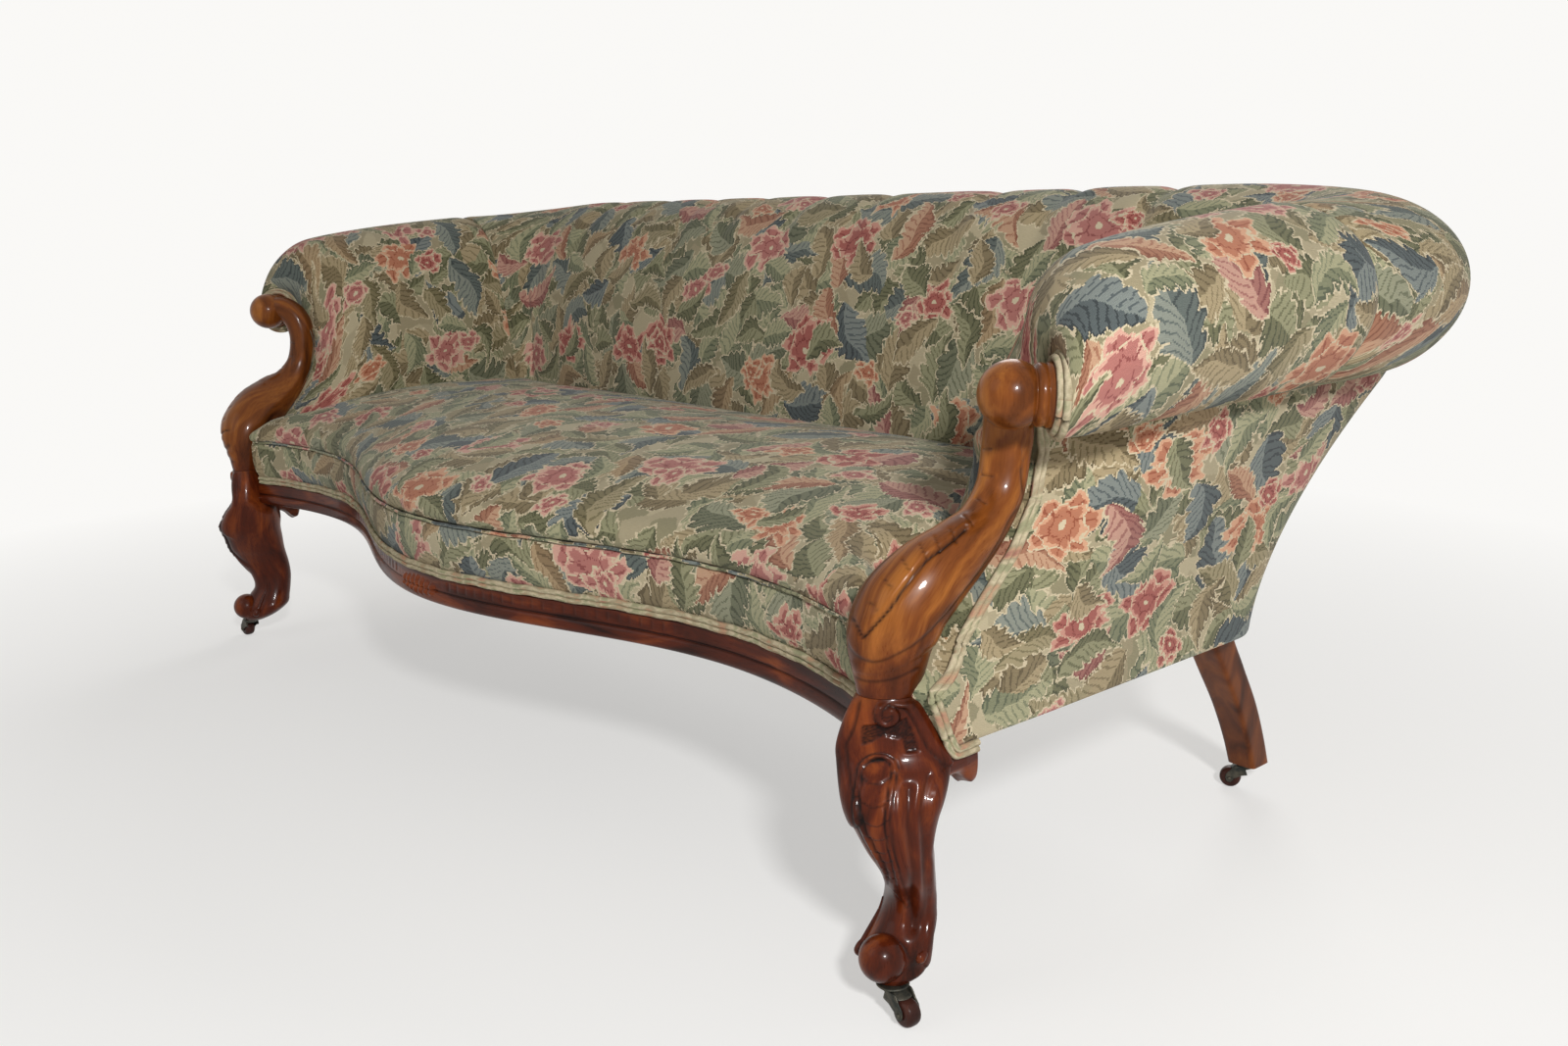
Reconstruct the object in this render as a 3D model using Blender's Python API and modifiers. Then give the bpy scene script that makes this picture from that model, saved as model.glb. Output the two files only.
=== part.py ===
"""A Victorian show-wood chesterfield sofa on castors, built as its separate pieces.

Metres, +Z up. The origin is on the floor under the middle of the sofa, +X runs along the
seat and +Y runs towards the back. Lengths that are given as (y, z) or (x, z) pairs are for
the right-hand half; the left half mirrors them.
"""
import math

import bmesh
import bpy
from mathutils import Matrix, Vector

# Clearances
GAP = 0.0003                # between pieces that touch
SOFT_GAP = 0.0005           # between stuffed pieces that touch
AXLE_CLEARANCE = 0.0003     # round an axle or a swivel stem

# Front legs and arm posts
FRONT_Y = -0.394            # line of the front legs
JOINT_Z = 0.315             # where an arm post stands on its leg
FOOT_Z = 0.036              # underside of every foot, where a castor is fixed
LEG_X = 0.806               # middle of a front leg at its top
LEG_Y = 0.010               # behind the leg line
LEG_FACING_DEG = -45.0      # a front leg faces the corner it stands on
LEG_SIDES = 12
EAR_WIDTH = 0.040           # bracket behind a front leg, from the middle of the leg outwards
EAR_INSET = 0.010           # and inwards

# Front show-wood rail, a serpentine in plan
RAIL_BOTTOM = 0.254
RAIL_HEIGHT = 0.038
RAIL_TOP = RAIL_BOTTOM + RAIL_HEIGHT
RAIL_DEPTH = 0.030
RAIL_BOW = -0.060           # middle of the rail, ahead of the leg line
RAIL_HOLLOW = 0.060         # hollow beside each leg, behind the leg line
RAIL_HOLLOW_X = 0.540       # where the hollow is deepest
RAIL_END = 0.000            # at the legs
RAIL_SECTIONS = 33

# Seat frame inside the upholstery
SEAT_DEPTH = 0.550          # from the leg line to the inside back
FRAME_HEIGHT = 0.1015
FRAME_BOTTOM = RAIL_BOTTOM + 0.008  # lifted clear of the show-wood rail's lower edge
FRAME_TOP = FRAME_BOTTOM + FRAME_HEIGHT
FRONT_FRAME_DEPTH = 0.025
SIDE_FRAME_INNER_X = LEG_X - 0.0037
SIDE_FRAME_OUTER_X = LEG_X + 0.029
BACK_FRAME_FRONT = SEAT_DEPTH + 0.015  # behind the leg line, under the foot of the inside back
BACK_FRAME_DEPTH = 0.039
STRETCHER_WIDTH = 0.025
STRETCHER_HEIGHT = 0.070
BLOCK_SIZE = 0.040          # glue blocks in the corners of the seat frame

# Rear legs
REAR_LEG_X = LEG_X - 0.026
REAR_LEG_Y = BACK_FRAME_FRONT + 0.007  # at the seat frame
REAR_LEG_HALF = 0.022
REAR_KNEE_Z = 0.250         # the leg rakes back below this height
REAR_RAKE = 0.140           # how far the foot stands behind the seat frame
REAR_FOOT_X = REAR_LEG_X - 0.012
REAR_FOOT_Y = REAR_LEG_Y + REAR_RAKE
REAR_FOOT_HALF = 0.019

# Back and arm frame
TOP_RAIL_BOTTOM = 0.505
TOP_RAIL_HEIGHT = 0.0505
TOP_RAIL_TOP = TOP_RAIL_BOTTOM + TOP_RAIL_HEIGHT
STILE_X = REAR_LEG_X + 0.010
STILE_HALF = 0.020
BACK_RAKE = 0.128           # how far the back leans at its top rail
STILE_TOP_Y = REAR_LEG_Y + BACK_RAKE
BACK_RAIL_FRONT = STILE_TOP_Y
ARM_RAIL_FRONT_X = (LEG_X - 0.006, LEG_X + 0.026)
ARM_RAIL_REAR_INNER_X = LEG_X - 0.0105
UPRIGHT_HALF = 0.0115
BACK_UPRIGHT_X = 0.260
BACK_UPRIGHT_FOOT_Y = BACK_FRAME_FRONT + 0.026
ARM_UPRIGHT_Y = 0.350

# Outside of the arms and back, under the roll
PANEL_THICKNESS = 0.005
PANEL_BOTTOM = RAIL_BOTTOM + 0.006
PANEL_TOP = TOP_RAIL_TOP - 0.0075
PANEL_EDGE_X = LEG_X + 0.042  # front edge of the outside arm, beside the post
PANEL_HOLLOW = 1.6          # how hollow the outside is between its lower and upper edge
SIDE_LEAN = 0.055
SIDE_FOOT_X = LEG_X + 0.044  # outside arm at its lower edge
SIDE_TOP_X = SIDE_FOOT_X + SIDE_LEAN  # outside arm under the roll
BACK_LEAN = 0.190
BACK_FOOT_Y = BACK_FRAME_FRONT + 0.045  # outside back at its lower edge
BACK_TOP_Y = BACK_FOOT_Y + BACK_LEAN  # outside back under the roll
CORNER_FOOT_R = 0.080
CORNER_TOP_R = 0.090
PANEL_ROWS = 10
PANEL_FOOT_FRONT = 0.052    # front lower corner of the outside arm
PANEL_WAIST_FRONT = 0.024   # where it laps over the joint of leg and post
PANEL_FRONT_BLEND = 0.150   # length over which the panel swells out from the post
PANEL_SEAM_STEPS = 3        # steps round the rear corner that belong to the arm
CORNER_STEPS = 5

# Seat
SEAT_SIDE = 0.0875          # from the middle of a leg in to the seat's side
SEAT_HALF = LEG_X - SEAT_SIDE
SEAT_EAR_X = LEG_X - 0.042  # the seat's front corners reach to the posts
SEAT_EAR_BACK = 0.040
HESSIAN_THICKNESS = 0.0020
SEAT_BOTTOM = FRAME_TOP + HESSIAN_THICKNESS + 0.0008
SEAT_SEAM_LIP = 0.012       # how far the seat swells over its front seam
SEAT_CROWN = 0.090          # height of the crown above the seam

# Inside arms, inside back and their roll
PAD_BOTTOM = SEAT_BOTTOM + SOFT_GAP
SEAT_LINE_Z = PAD_BOTTOM + 0.0732
WAIST_Z = TOP_RAIL_TOP - 0.0055
ARM_INNER_X = SEAT_HALF + SOFT_GAP  # inside of the arm at the seat
ARM_WAIST_X = ARM_INNER_X + 0.023
ARM_PAD_FOOT = 0.060        # thickness of the inside arm at its foot
ARM_FRONT_CLEARANCE = 0.006
ARM_ROLL_FRONT_Y = 0.168    # where the roll starts behind the post's ball
ARM_REAR_Y = SEAT_DEPTH - 0.030  # where the arm turns into the corner
BACK_INNER_Y = SEAT_DEPTH   # inside back at the seat
BACK_WAIST_Y = BACK_INNER_Y + 0.022
BACK_PAD_FOOT = 0.027
ROLL_FRONT = (LEG_X + 0.079, TOP_RAIL_TOP + 0.0645, 0.080, 0.068)  # middle x and z, half sizes
ROLL_ARM = (LEG_X + 0.079, TOP_RAIL_TOP + 0.0930, 0.108, 0.0970)
ROLL_BACK = (SEAT_DEPTH + 0.185, TOP_RAIL_TOP + 0.1075, 0.125, 0.105)  # middle y and z, half sizes
ROLL_POINTS = 8
ROLL_START_DEG = 165.0
ARM_TUCK_DEG = -72.0
BACK_TUCK_DEG = -62.0
PAD_RAIL_INNER_X = ARM_RAIL_REAR_INNER_X - 0.001  # the pad drops inside the arm rail here
PAD_RAIL_INNER_Y = SEAT_DEPTH + 0.110
PAD_RAIL_OUTER_X = PAD_RAIL_INNER_X + 0.0555
PAD_RAIL_OUTER_Y = PAD_RAIL_INNER_Y + 0.125
PAD_KNEE_DROP = 0.036
PAD_RAIL_POINTS = 3         # points of the section that lie against the frame
PIVOT_X = SEAT_HALF - 0.0285  # middle of the rear corner's sweep
PIVOT_Y = ARM_REAR_Y
CORNER_BULGE = 0.170        # how much squarer than round the corner is
PLEATS = 9                  # tucks over the top of the back roll
PLEAT_SPACING = 0.150
PLEAT_DEPTH = 0.004

# Piping, webbing and cloth
WELT_RADIUS = 0.0035
WEB_THICKNESS = 0.0020
WEB_WIDTH = 0.050
CROSS_WEBS = 9
CROSS_WEB_REACH = 0.640
LONG_WEBS = 3
CLOTH_THICKNESS = 0.0025

# Seat springs
SPRING_COLUMNS = 6
SPRING_COLUMN_STEP = 0.210
SPRING_ROWS = (0.200, 0.400)
SPRING_RADIUS = 0.044
SPRING_WAIST = 0.030
SPRING_WIRE = 0.0018
SPRING_TURNS = 2.5          # a half turn over, so that the wire leaves on the far side
SPRING_TURN_POINTS = 8

# Castors
PLATE_RADIUS = 0.0160
PLATE_THICKNESS = 0.0030
STEM_RADIUS = 0.0045
CROWN_HEIGHT = 0.0040
WHEEL_RADIUS = 0.0135
WHEEL_WIDTH = 0.0130
WHEEL_SIDES = 20
WHEEL_BEVEL = 0.0020
CHEEK = 0.0030
WHEEL_SIDE_GAP = 0.0008
AXLE_RADIUS = 0.0022
CASTOR_TRAIL = 0.0210
FORK_FRONT = 0.0100         # fork ahead of its swivel
FORK_TAIL = 0.0050          # fork behind its axle
FRONT_TRAIL_DEG = -5.0      # direction in which the right-hand front wheel trails
REAR_TRAIL_DEG = 205.0

COLOURS = {
    "walnut": ((0.155, 0.045, 0.016), 0.25, 0.0),
    "beech": ((0.500, 0.330, 0.190), 0.60, 0.0),
    "stained_wood": ((0.110, 0.036, 0.014), 0.35, 0.0),
    "tapestry": ((0.420, 0.370, 0.260), 0.90, 0.0),
    "piping": ((0.500, 0.440, 0.310), 0.90, 0.0),
    "webbing": ((0.330, 0.250, 0.150), 0.95, 0.0),
    "hessian": ((0.380, 0.280, 0.160), 0.95, 0.0),
    "black_cloth": ((0.030, 0.030, 0.032), 0.95, 0.0),
    "spring_steel": ((0.300, 0.280, 0.260), 0.45, 1.0),
    "brass": ((0.330, 0.220, 0.090), 0.40, 1.0),
    "lignum": ((0.075, 0.030, 0.016), 0.40, 0.0),
}


FACING = Vector((math.cos(math.radians(LEG_FACING_DEG)), math.sin(math.radians(LEG_FACING_DEG)), 0.0))
ASIDE = Vector((-FACING.y, FACING.x, 0.0))


def leg_point(out, aside, z):
    """A point by its distances from the leg's top, towards the corner and square to that."""
    return Vector((LEG_X, FRONT_Y + LEG_Y, z)) + FACING * out + ASIDE * aside


def front_leg_stations():
    """Middle, half width and half depth of a cabriole front leg from its top to its foot."""
    return [
        (leg_point(0.000, 0.000, JOINT_Z - GAP), 0.027, 0.027),
        (leg_point(0.000, -0.001, JOINT_Z - 0.018), 0.033, 0.033),
        (leg_point(-0.002, 0.003, 0.267), 0.042, 0.031),
        (leg_point(0.000, 0.007, 0.243), 0.045, 0.041),
        (leg_point(0.004, 0.008, 0.210), 0.041, 0.052),
        (leg_point(0.003, 0.0135, 0.184), 0.0335, 0.051),
        (leg_point(-0.005, 0.0205, 0.153), 0.0255, 0.045),
        (leg_point(-0.0185, 0.023, 0.128), 0.023, 0.0375),
        (leg_point(-0.028, 0.022, 0.103), 0.0235, 0.030),
        (leg_point(-0.022, 0.020, 0.085), 0.026, 0.032),
        (leg_point(-0.008, 0.014, 0.0675), 0.030, 0.041),
        (leg_point(0.009, 0.0075, 0.052), 0.0335, 0.046),
        (leg_point(0.018, 0.006, FOOT_Z), 0.024, 0.024),
    ]


def arm_post_stations():
    """Middle, half width and half depth of an arm post from its leg to its neck."""
    return [
        (leg_point(0.000, 0.000, JOINT_Z), 0.027, 0.027),
        (leg_point(-0.001, 0.002, JOINT_Z + 0.023), 0.034, 0.031),
        (leg_point(-0.003, 0.004, JOINT_Z + 0.053), 0.0405, 0.038),
        (leg_point(-0.006, 0.010, JOINT_Z + 0.069), 0.042, 0.041),
        (leg_point(-0.012, 0.019, JOINT_Z + 0.083), 0.041, 0.042),
        (leg_point(-0.023, 0.037, JOINT_Z + 0.101), 0.0375, 0.041),
        (leg_point(-0.039, 0.062, JOINT_Z + 0.120), 0.0305, 0.036),
        (leg_point(-0.058, 0.087, JOINT_Z + 0.142), 0.0245, 0.028),
        (leg_point(-0.074, 0.105, JOINT_Z + 0.174), 0.0230, 0.022),
        (leg_point(-0.081, 0.111, JOINT_Z + 0.215), 0.0230, 0.021),
        (leg_point(-0.074, 0.112, JOINT_Z + 0.245), 0.023, 0.022),
        (leg_point(-0.056, 0.1115, JOINT_Z + 0.264), 0.022, 0.022),
    ]


BALL_RADIUS = 0.031
BALL_CENTRE = leg_point(-0.022, 0.110, JOINT_Z + 0.269)
BALL_RINGS = (-0.70, -0.36, 0.0, 0.36, 0.68, 0.90)


def lerp(a, b, t):
    return a + (b - a) * t


def interpolate(table, key):
    """Straight-line reading of a table of (key, value) pairs."""
    if key <= table[0][0]:
        return table[0][1]
    for (k0, v0), (k1, v1) in zip(table, table[1:]):
        if key <= k1:
            return lerp(v0, v1, (key - k0) / (k1 - k0))
    return table[-1][1]


def smooth(t):
    t = min(max(t, 0.0), 1.0)
    return t * t * (3.0 - 2.0 * t)


def serpentine(x):
    """Front face of the show-wood rail in plan."""
    distance = abs(x)
    if distance <= RAIL_HOLLOW_X:
        t = (1.0 - math.cos(math.pi * distance / RAIL_HOLLOW_X)) / 2.0
        return FRONT_Y + lerp(RAIL_BOW, RAIL_HOLLOW, t)
    t = (distance - RAIL_HOLLOW_X) / (LEG_X - RAIL_HOLLOW_X)
    return FRONT_Y + lerp(RAIL_HOLLOW, RAIL_END, t * t)


def tangents(points):
    """Direction of travel at each point of an open path."""
    last = len(points) - 1
    return [(points[min(i + 1, last)] - points[max(i - 1, 0)]).normalized()
            for i in range(len(points))]


def ring_reach(station):
    """How far a diagonal ring reaches along X or Y."""
    return math.sqrt((station[1] ** 2 + station[2] ** 2) / 2.0)


def post_back_edge():
    """Rear edge of an arm post as (z, y) pairs."""
    stations = arm_post_stations()
    path = [s[0] for s in stations]
    edge = []
    for station, point, direction in zip(stations, path, tangents(path)):
        behind = Vector((0.0, direction.z, -direction.y)).normalized() * ring_reach(station)
        edge.append((point.z + behind.z, point.y + behind.y))
    return sorted(edge)


def arm_front_y(z):
    """Front edge of the arm's upholstery, which follows the back of the post."""
    foot = [(PANEL_BOTTOM, FRONT_Y + PANEL_FOOT_FRONT), (JOINT_Z + 0.010, FRONT_Y + PANEL_WAIST_FRONT)]
    above = [(height, y + ARM_FRONT_CLEARANCE) for height, y in post_back_edge()
             if JOINT_Z + 0.020 < height < WAIST_Z - 0.010]
    table = foot + above + [(WAIST_Z, FRONT_Y + ARM_ROLL_FRONT_Y)]
    return interpolate(table, z)


def panel_share(z):
    share = (z - PANEL_BOTTOM) / (TOP_RAIL_TOP - PANEL_BOTTOM)
    return max(share, 0.0) ** PANEL_HOLLOW


def side_x(z):
    return lerp(SIDE_FOOT_X, SIDE_TOP_X, panel_share(z))


def back_y(z):
    return FRONT_Y + lerp(BACK_FOOT_Y, BACK_TOP_Y, panel_share(z))


def corner_radius(z):
    return lerp(CORNER_FOOT_R, CORNER_TOP_R, panel_share(z))


def make_materials():
    made = {}
    for name, (colour, roughness, metallic) in COLOURS.items():
        material = bpy.data.materials.new(name)
        material.use_nodes = True
        shader = material.node_tree.nodes["Principled BSDF"]
        shader.inputs["Base Color"].default_value = (*colour, 1.0)
        shader.inputs["Roughness"].default_value = roughness
        shader.inputs["Metallic"].default_value = metallic
        made[name] = material
    return made


def new_collection(name):
    collection = bpy.data.collections.new(name)
    bpy.context.scene.collection.children.link(collection)
    return collection


for old in list(bpy.data.objects):
    bpy.data.objects.remove(old, do_unlink=True)
MATERIALS = make_materials()
SOFA = new_collection("chesterfield_sofa")
CUTTERS = new_collection("cutters")


def place(name, data, finish, smooth_angle=None):
    """Puts a mesh or curve in the sofa's collection under its node name."""
    data.materials.append(MATERIALS[finish])
    if smooth_angle is not None:
        data.shade_smooth()
        data.set_sharp_from_angle(angle=math.radians(smooth_angle))
    made = bpy.data.objects.new(name, data)
    SOFA.objects.link(made)
    return made


def mesh_of(bm, name):
    bmesh.ops.recalc_face_normals(bm, faces=bm.faces)
    mesh = bpy.data.meshes.new(name)
    bm.to_mesh(mesh)
    bm.free()
    return mesh


def add_loft(bm, rings):
    """Skins closed rings of equal count and caps both ends."""
    rows = [[bm.verts.new(point) for point in ring] for ring in rings]
    for lower, upper in zip(rows, rows[1:]):
        for i in range(len(lower)):
            j = (i + 1) % len(lower)
            bm.faces.new((lower[i], lower[j], upper[j], upper[i]))
    bm.faces.new(rows[0])
    bm.faces.new(rows[-1])


def loft(name, rings, finish, smooth_angle=None):
    bm = bmesh.new()
    add_loft(bm, rings)
    return place(name, mesh_of(bm, name), finish, smooth_angle)


def add_box(bm, low, high):
    low = Vector(low)
    high = Vector(high)
    size = Matrix.Diagonal((*(high - low), 1.0))
    bmesh.ops.create_cube(bm, size=1.0, matrix=Matrix.Translation((low + high) / 2.0) @ size)


def box(name, low, high, finish):
    bm = bmesh.new()
    add_box(bm, low, high)
    return place(name, mesh_of(bm, name), finish)


def mirrored(points, side):
    return [Vector((side * p[0], p[1], p[2])) for p in points]


def sweep_x(name, stations, section, finish, smooth_angle=None):
    """Lofts (y, z) sections along X."""
    rings = [[Vector((x, y, z)) for y, z in section(x)] for x in stations]
    return loft(name, rings, finish, smooth_angle)


def spaced(first, last, count):
    return [lerp(first, last, i / (count - 1)) for i in range(count)]


def oval_ring(centre, direction, half_width, half_depth, sides):
    """A ring square to a path, with its width along the side of a front leg."""
    across = (ASIDE - direction * ASIDE.dot(direction)).normalized()
    through = direction.cross(across)
    ring = []
    for i in range(sides):
        angle = math.tau * i / sides
        ring.append(centre + across * half_width * math.cos(angle)
                    + through * half_depth * math.sin(angle))
    return ring


def station_rings(stations, flat_ends):
    """Rings along stations; a flat end is level, so that it seats on its neighbour."""
    path = [s[0] for s in stations]
    directions = tangents(path)
    for end in flat_ends:
        directions[end] = Vector((0.0, 0.0, math.copysign(1.0, directions[end].z)))
    return [oval_ring(point, direction, half_width, half_depth, LEG_SIDES)
            for (point, half_width, half_depth), direction in zip(stations, directions)]


def square_rings(stations):
    """Level square rings for (x, y, z, half) stations."""
    corners = ((-1, -1), (1, -1), (1, 1), (-1, 1))
    return [[Vector((x + i * half, y + j * half, z)) for i, j in corners]
            for x, y, z, half in stations]


def flip(rings, side):
    return [mirrored(ring, side) for ring in rings]


def front_leg(name, side):
    loft(name, flip(station_rings(front_leg_stations(), (0, -1)), side), "walnut", 50)


def leg_back(low, high, inner, outer):
    """Rearmost Y of a right-hand front leg between two heights and two widths."""
    rings = station_rings(front_leg_stations(), (0, -1))
    points = []
    for upper, lower in zip(rings, rings[1:]):
        for start, end in zip(upper, lower):
            points += [start.lerp(end, share) for share in spaced(0.0, 1.0, 17)]
    return max(p.y for p in points if low <= p.z <= high and inner <= p.x <= outer)


def leg_ear(name, side):
    """The scrolled bracket behind a front leg, under the edge of the outside arm."""
    inner = LEG_X - EAR_INSET
    outer = LEG_X + EAR_WIDTH
    top = PANEL_BOTTOM - WELT_RADIUS - GAP
    depths = ((0.0, 0.040), (0.014, 0.032), (0.028, 0.020), (0.038, 0.024), (0.048, 0.012))
    front = leg_back(top - depths[0][1], top, inner, outer) + GAP
    rings = []
    for offset, depth in depths:
        y = front + offset
        low = top - depth
        rings.append([Vector((inner, y, low)), Vector((outer, y, low)),
                      Vector((outer, y, top)), Vector((inner, y, top))])
    loft(name, flip(rings, side), "walnut")


def arm_post(name, side):
    """The post ends in a ball that faces the corner."""
    rings = station_rings(arm_post_stations(), (0,))
    for share in BALL_RINGS:
        radius = BALL_RADIUS * math.sqrt(1.0 - share * share)
        middle = BALL_CENTRE + FACING * BALL_RADIUS * share
        rings.append(oval_ring(middle, FACING, radius, radius, LEG_SIDES))
    loft(name, flip(rings, side), "walnut", 50)


def rear_leg(name, side):
    stations = [
        (REAR_FOOT_X, FRONT_Y + REAR_FOOT_Y, FOOT_Z, REAR_FOOT_HALF),
        (REAR_LEG_X, FRONT_Y + REAR_LEG_Y, REAR_KNEE_Z, REAR_LEG_HALF),
        (REAR_LEG_X, FRONT_Y + REAR_LEG_Y, FRAME_TOP, REAR_LEG_HALF),
    ]
    loft(name, flip(square_rings(stations), side), "stained_wood")


def front_rail():
    end = LEG_X - 0.038

    def section(x):
        y = serpentine(x)
        ovolo = RAIL_BOTTOM + 0.005
        fillet = RAIL_BOTTOM + 0.018
        return [(y + 0.006, RAIL_BOTTOM), (y, ovolo), (y, fillet), (y + 0.005, fillet + 0.008),
                (y + 0.005, RAIL_TOP), (y + RAIL_DEPTH, RAIL_TOP), (y + RAIL_DEPTH, RAIL_BOTTOM)]

    sweep_x("front_rail", spaced(-end, end, RAIL_SECTIONS), section, "walnut", 30)


def seat_frame():
    inner_end = LEG_X - 0.043

    def front_section(x):
        y = serpentine(x) + RAIL_DEPTH + GAP
        back = y + FRONT_FRAME_DEPTH
        return [(y, FRAME_BOTTOM), (y, FRAME_TOP), (back, FRAME_TOP), (back, FRAME_BOTTOM)]

    sweep_x("seat_rail_front", spaced(-inner_end, inner_end, RAIL_SECTIONS), front_section, "beech", 30)

    back_front = FRONT_Y + BACK_FRAME_FRONT
    back_end = REAR_LEG_X - REAR_LEG_HALF - GAP
    box("seat_rail_back", (-back_end, back_front, FRAME_BOTTOM),
        (back_end, back_front + BACK_FRAME_DEPTH, FRAME_TOP), "beech")

    leg_rear = max(s[0].y + ring_reach(s) for s in front_leg_stations()[:4])
    leg_rear = max(leg_rear, interpolate(post_back_edge(), FRAME_TOP)) + GAP
    rail_rear = FRONT_Y + REAR_LEG_Y - REAR_LEG_HALF + 0.010
    for side, label in ((-1, "left"), (1, "right")):
        ends = sorted((side * SIDE_FRAME_INNER_X, side * SIDE_FRAME_OUTER_X))
        box(f"seat_rail_{label}", (ends[0], leg_rear, FRAME_BOTTOM),
            (ends[1], rail_rear, FRAME_TOP), "beech")

    stretcher_front = serpentine(STRETCHER_WIDTH) + RAIL_DEPTH + FRONT_FRAME_DEPTH + 2 * GAP
    stretcher_top = FRAME_TOP - 0.018
    box("seat_stretcher", (-STRETCHER_WIDTH / 2, stretcher_front, stretcher_top - STRETCHER_HEIGHT),
        (STRETCHER_WIDTH / 2, back_front - GAP, stretcher_top), "beech")

    block_low = FRAME_BOTTOM + 0.010
    block_high = FRAME_TOP - 0.020
    for side, label in ((-1, "left"), (1, "right")):
        outer = SIDE_FRAME_INNER_X - GAP
        ends = sorted((side * (outer - BLOCK_SIZE), side * outer))
        front_block = serpentine(outer - BLOCK_SIZE) + RAIL_DEPTH + FRONT_FRAME_DEPTH + 3 * GAP
        box(f"corner_block_front_{label}", (ends[0], front_block, block_low),
            (ends[1], front_block + BLOCK_SIZE, block_high), "beech")
        inner = REAR_LEG_X - REAR_LEG_HALF - GAP
        ends = sorted((side * (inner - BLOCK_SIZE), side * inner))
        rear_block = back_front - GAP
        box(f"corner_block_rear_{label}", (ends[0], rear_block - BLOCK_SIZE, block_low),
            (ends[1], rear_block, block_high), "beech")


def stile_y(z):
    foot = FRONT_Y + REAR_LEG_Y
    return lerp(foot, FRONT_Y + STILE_TOP_Y, (z - FRAME_TOP) / (TOP_RAIL_TOP - FRAME_TOP))


def arm_rail_outer_x():
    return side_x(TOP_RAIL_BOTTOM) - PANEL_THICKNESS - 0.0012


def back_frame():
    for side, label in ((-1, "left"), (1, "right")):
        stations = [(STILE_X, stile_y(z), z, STILE_HALF) for z in (FRAME_TOP + GAP, TOP_RAIL_TOP)]
        loft(f"back_stile_{label}", flip(square_rings(stations), side), "beech")

        front = max(y for z, y in post_back_edge() if z > JOINT_Z + 0.150) + GAP
        rear = stile_y(TOP_RAIL_BOTTOM) - STILE_HALF - GAP
        rings = []
        for y, inner, outer in ((front, *ARM_RAIL_FRONT_X),
                                (rear, ARM_RAIL_REAR_INNER_X, arm_rail_outer_x())):
            rings.append([Vector((inner, y, TOP_RAIL_BOTTOM)), Vector((outer, y, TOP_RAIL_BOTTOM)),
                          Vector((outer, y, TOP_RAIL_TOP)), Vector((inner, y, TOP_RAIL_TOP))])
        loft(f"arm_top_rail_{label}", flip(rings, side), "beech")

        y = FRONT_Y + ARM_UPRIGHT_Y
        middle = (SIDE_FRAME_INNER_X + SIDE_FRAME_OUTER_X) / 2.0
        stations = [(middle, y, FRAME_TOP + GAP, UPRIGHT_HALF),
                    (middle + 0.010, y, TOP_RAIL_BOTTOM - GAP, UPRIGHT_HALF)]
        loft(f"arm_upright_{label}", flip(square_rings(stations), side), "beech")

        rail_middle = FRONT_Y + (BACK_RAIL_FRONT + BACK_TOP_Y - 0.037) / 2.0
        stations = [(BACK_UPRIGHT_X, FRONT_Y + BACK_UPRIGHT_FOOT_Y, FRAME_TOP + GAP, UPRIGHT_HALF),
                    (BACK_UPRIGHT_X, rail_middle, TOP_RAIL_BOTTOM - GAP, UPRIGHT_HALF)]
        loft(f"back_upright_{label}", flip(square_rings(stations), side), "beech")

    end = STILE_X - STILE_HALF - GAP
    rear = back_y(TOP_RAIL_BOTTOM) - PANEL_THICKNESS - 0.0028
    box("back_top_rail", (-end, FRONT_Y + BACK_RAIL_FRONT, TOP_RAIL_BOTTOM),
        (end, rear, TOP_RAIL_TOP), "beech")


def webbing(columns, rows, end, front, rear):
    """Woven jute straps under the seat frame, as one sheet with square gaps."""
    half = WEB_WIDTH / 2.0
    xs = [-end] + [x + edge for x in columns for edge in (-half, half)] + [end]
    ys = [front] + [y + edge for y in rows for edge in (-half, half)] + [rear]
    top = FRAME_BOTTOM - GAP
    bm = bmesh.new()
    grid = [[bm.verts.new((x, y, top)) for x in xs] for y in ys]
    for j in range(len(ys) - 1):
        for i in range(len(xs) - 1):
            on_strap = i % 2 == 1 or j % 2 == 1
            if on_strap:
                bm.faces.new((grid[j][i], grid[j][i + 1], grid[j + 1][i + 1], grid[j + 1][i]))
    loose = [v for v in bm.verts if not v.link_faces]
    bmesh.ops.delete(bm, geom=loose, context="VERTS")
    mesh = bpy.data.meshes.new("seat_webbing")
    bm.to_mesh(mesh)
    bm.free()
    made = place("seat_webbing", mesh, "webbing")
    solidify = made.modifiers.new("thickness", "SOLIDIFY")
    solidify.thickness = WEB_THICKNESS
    solidify.offset = -1.0


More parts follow.
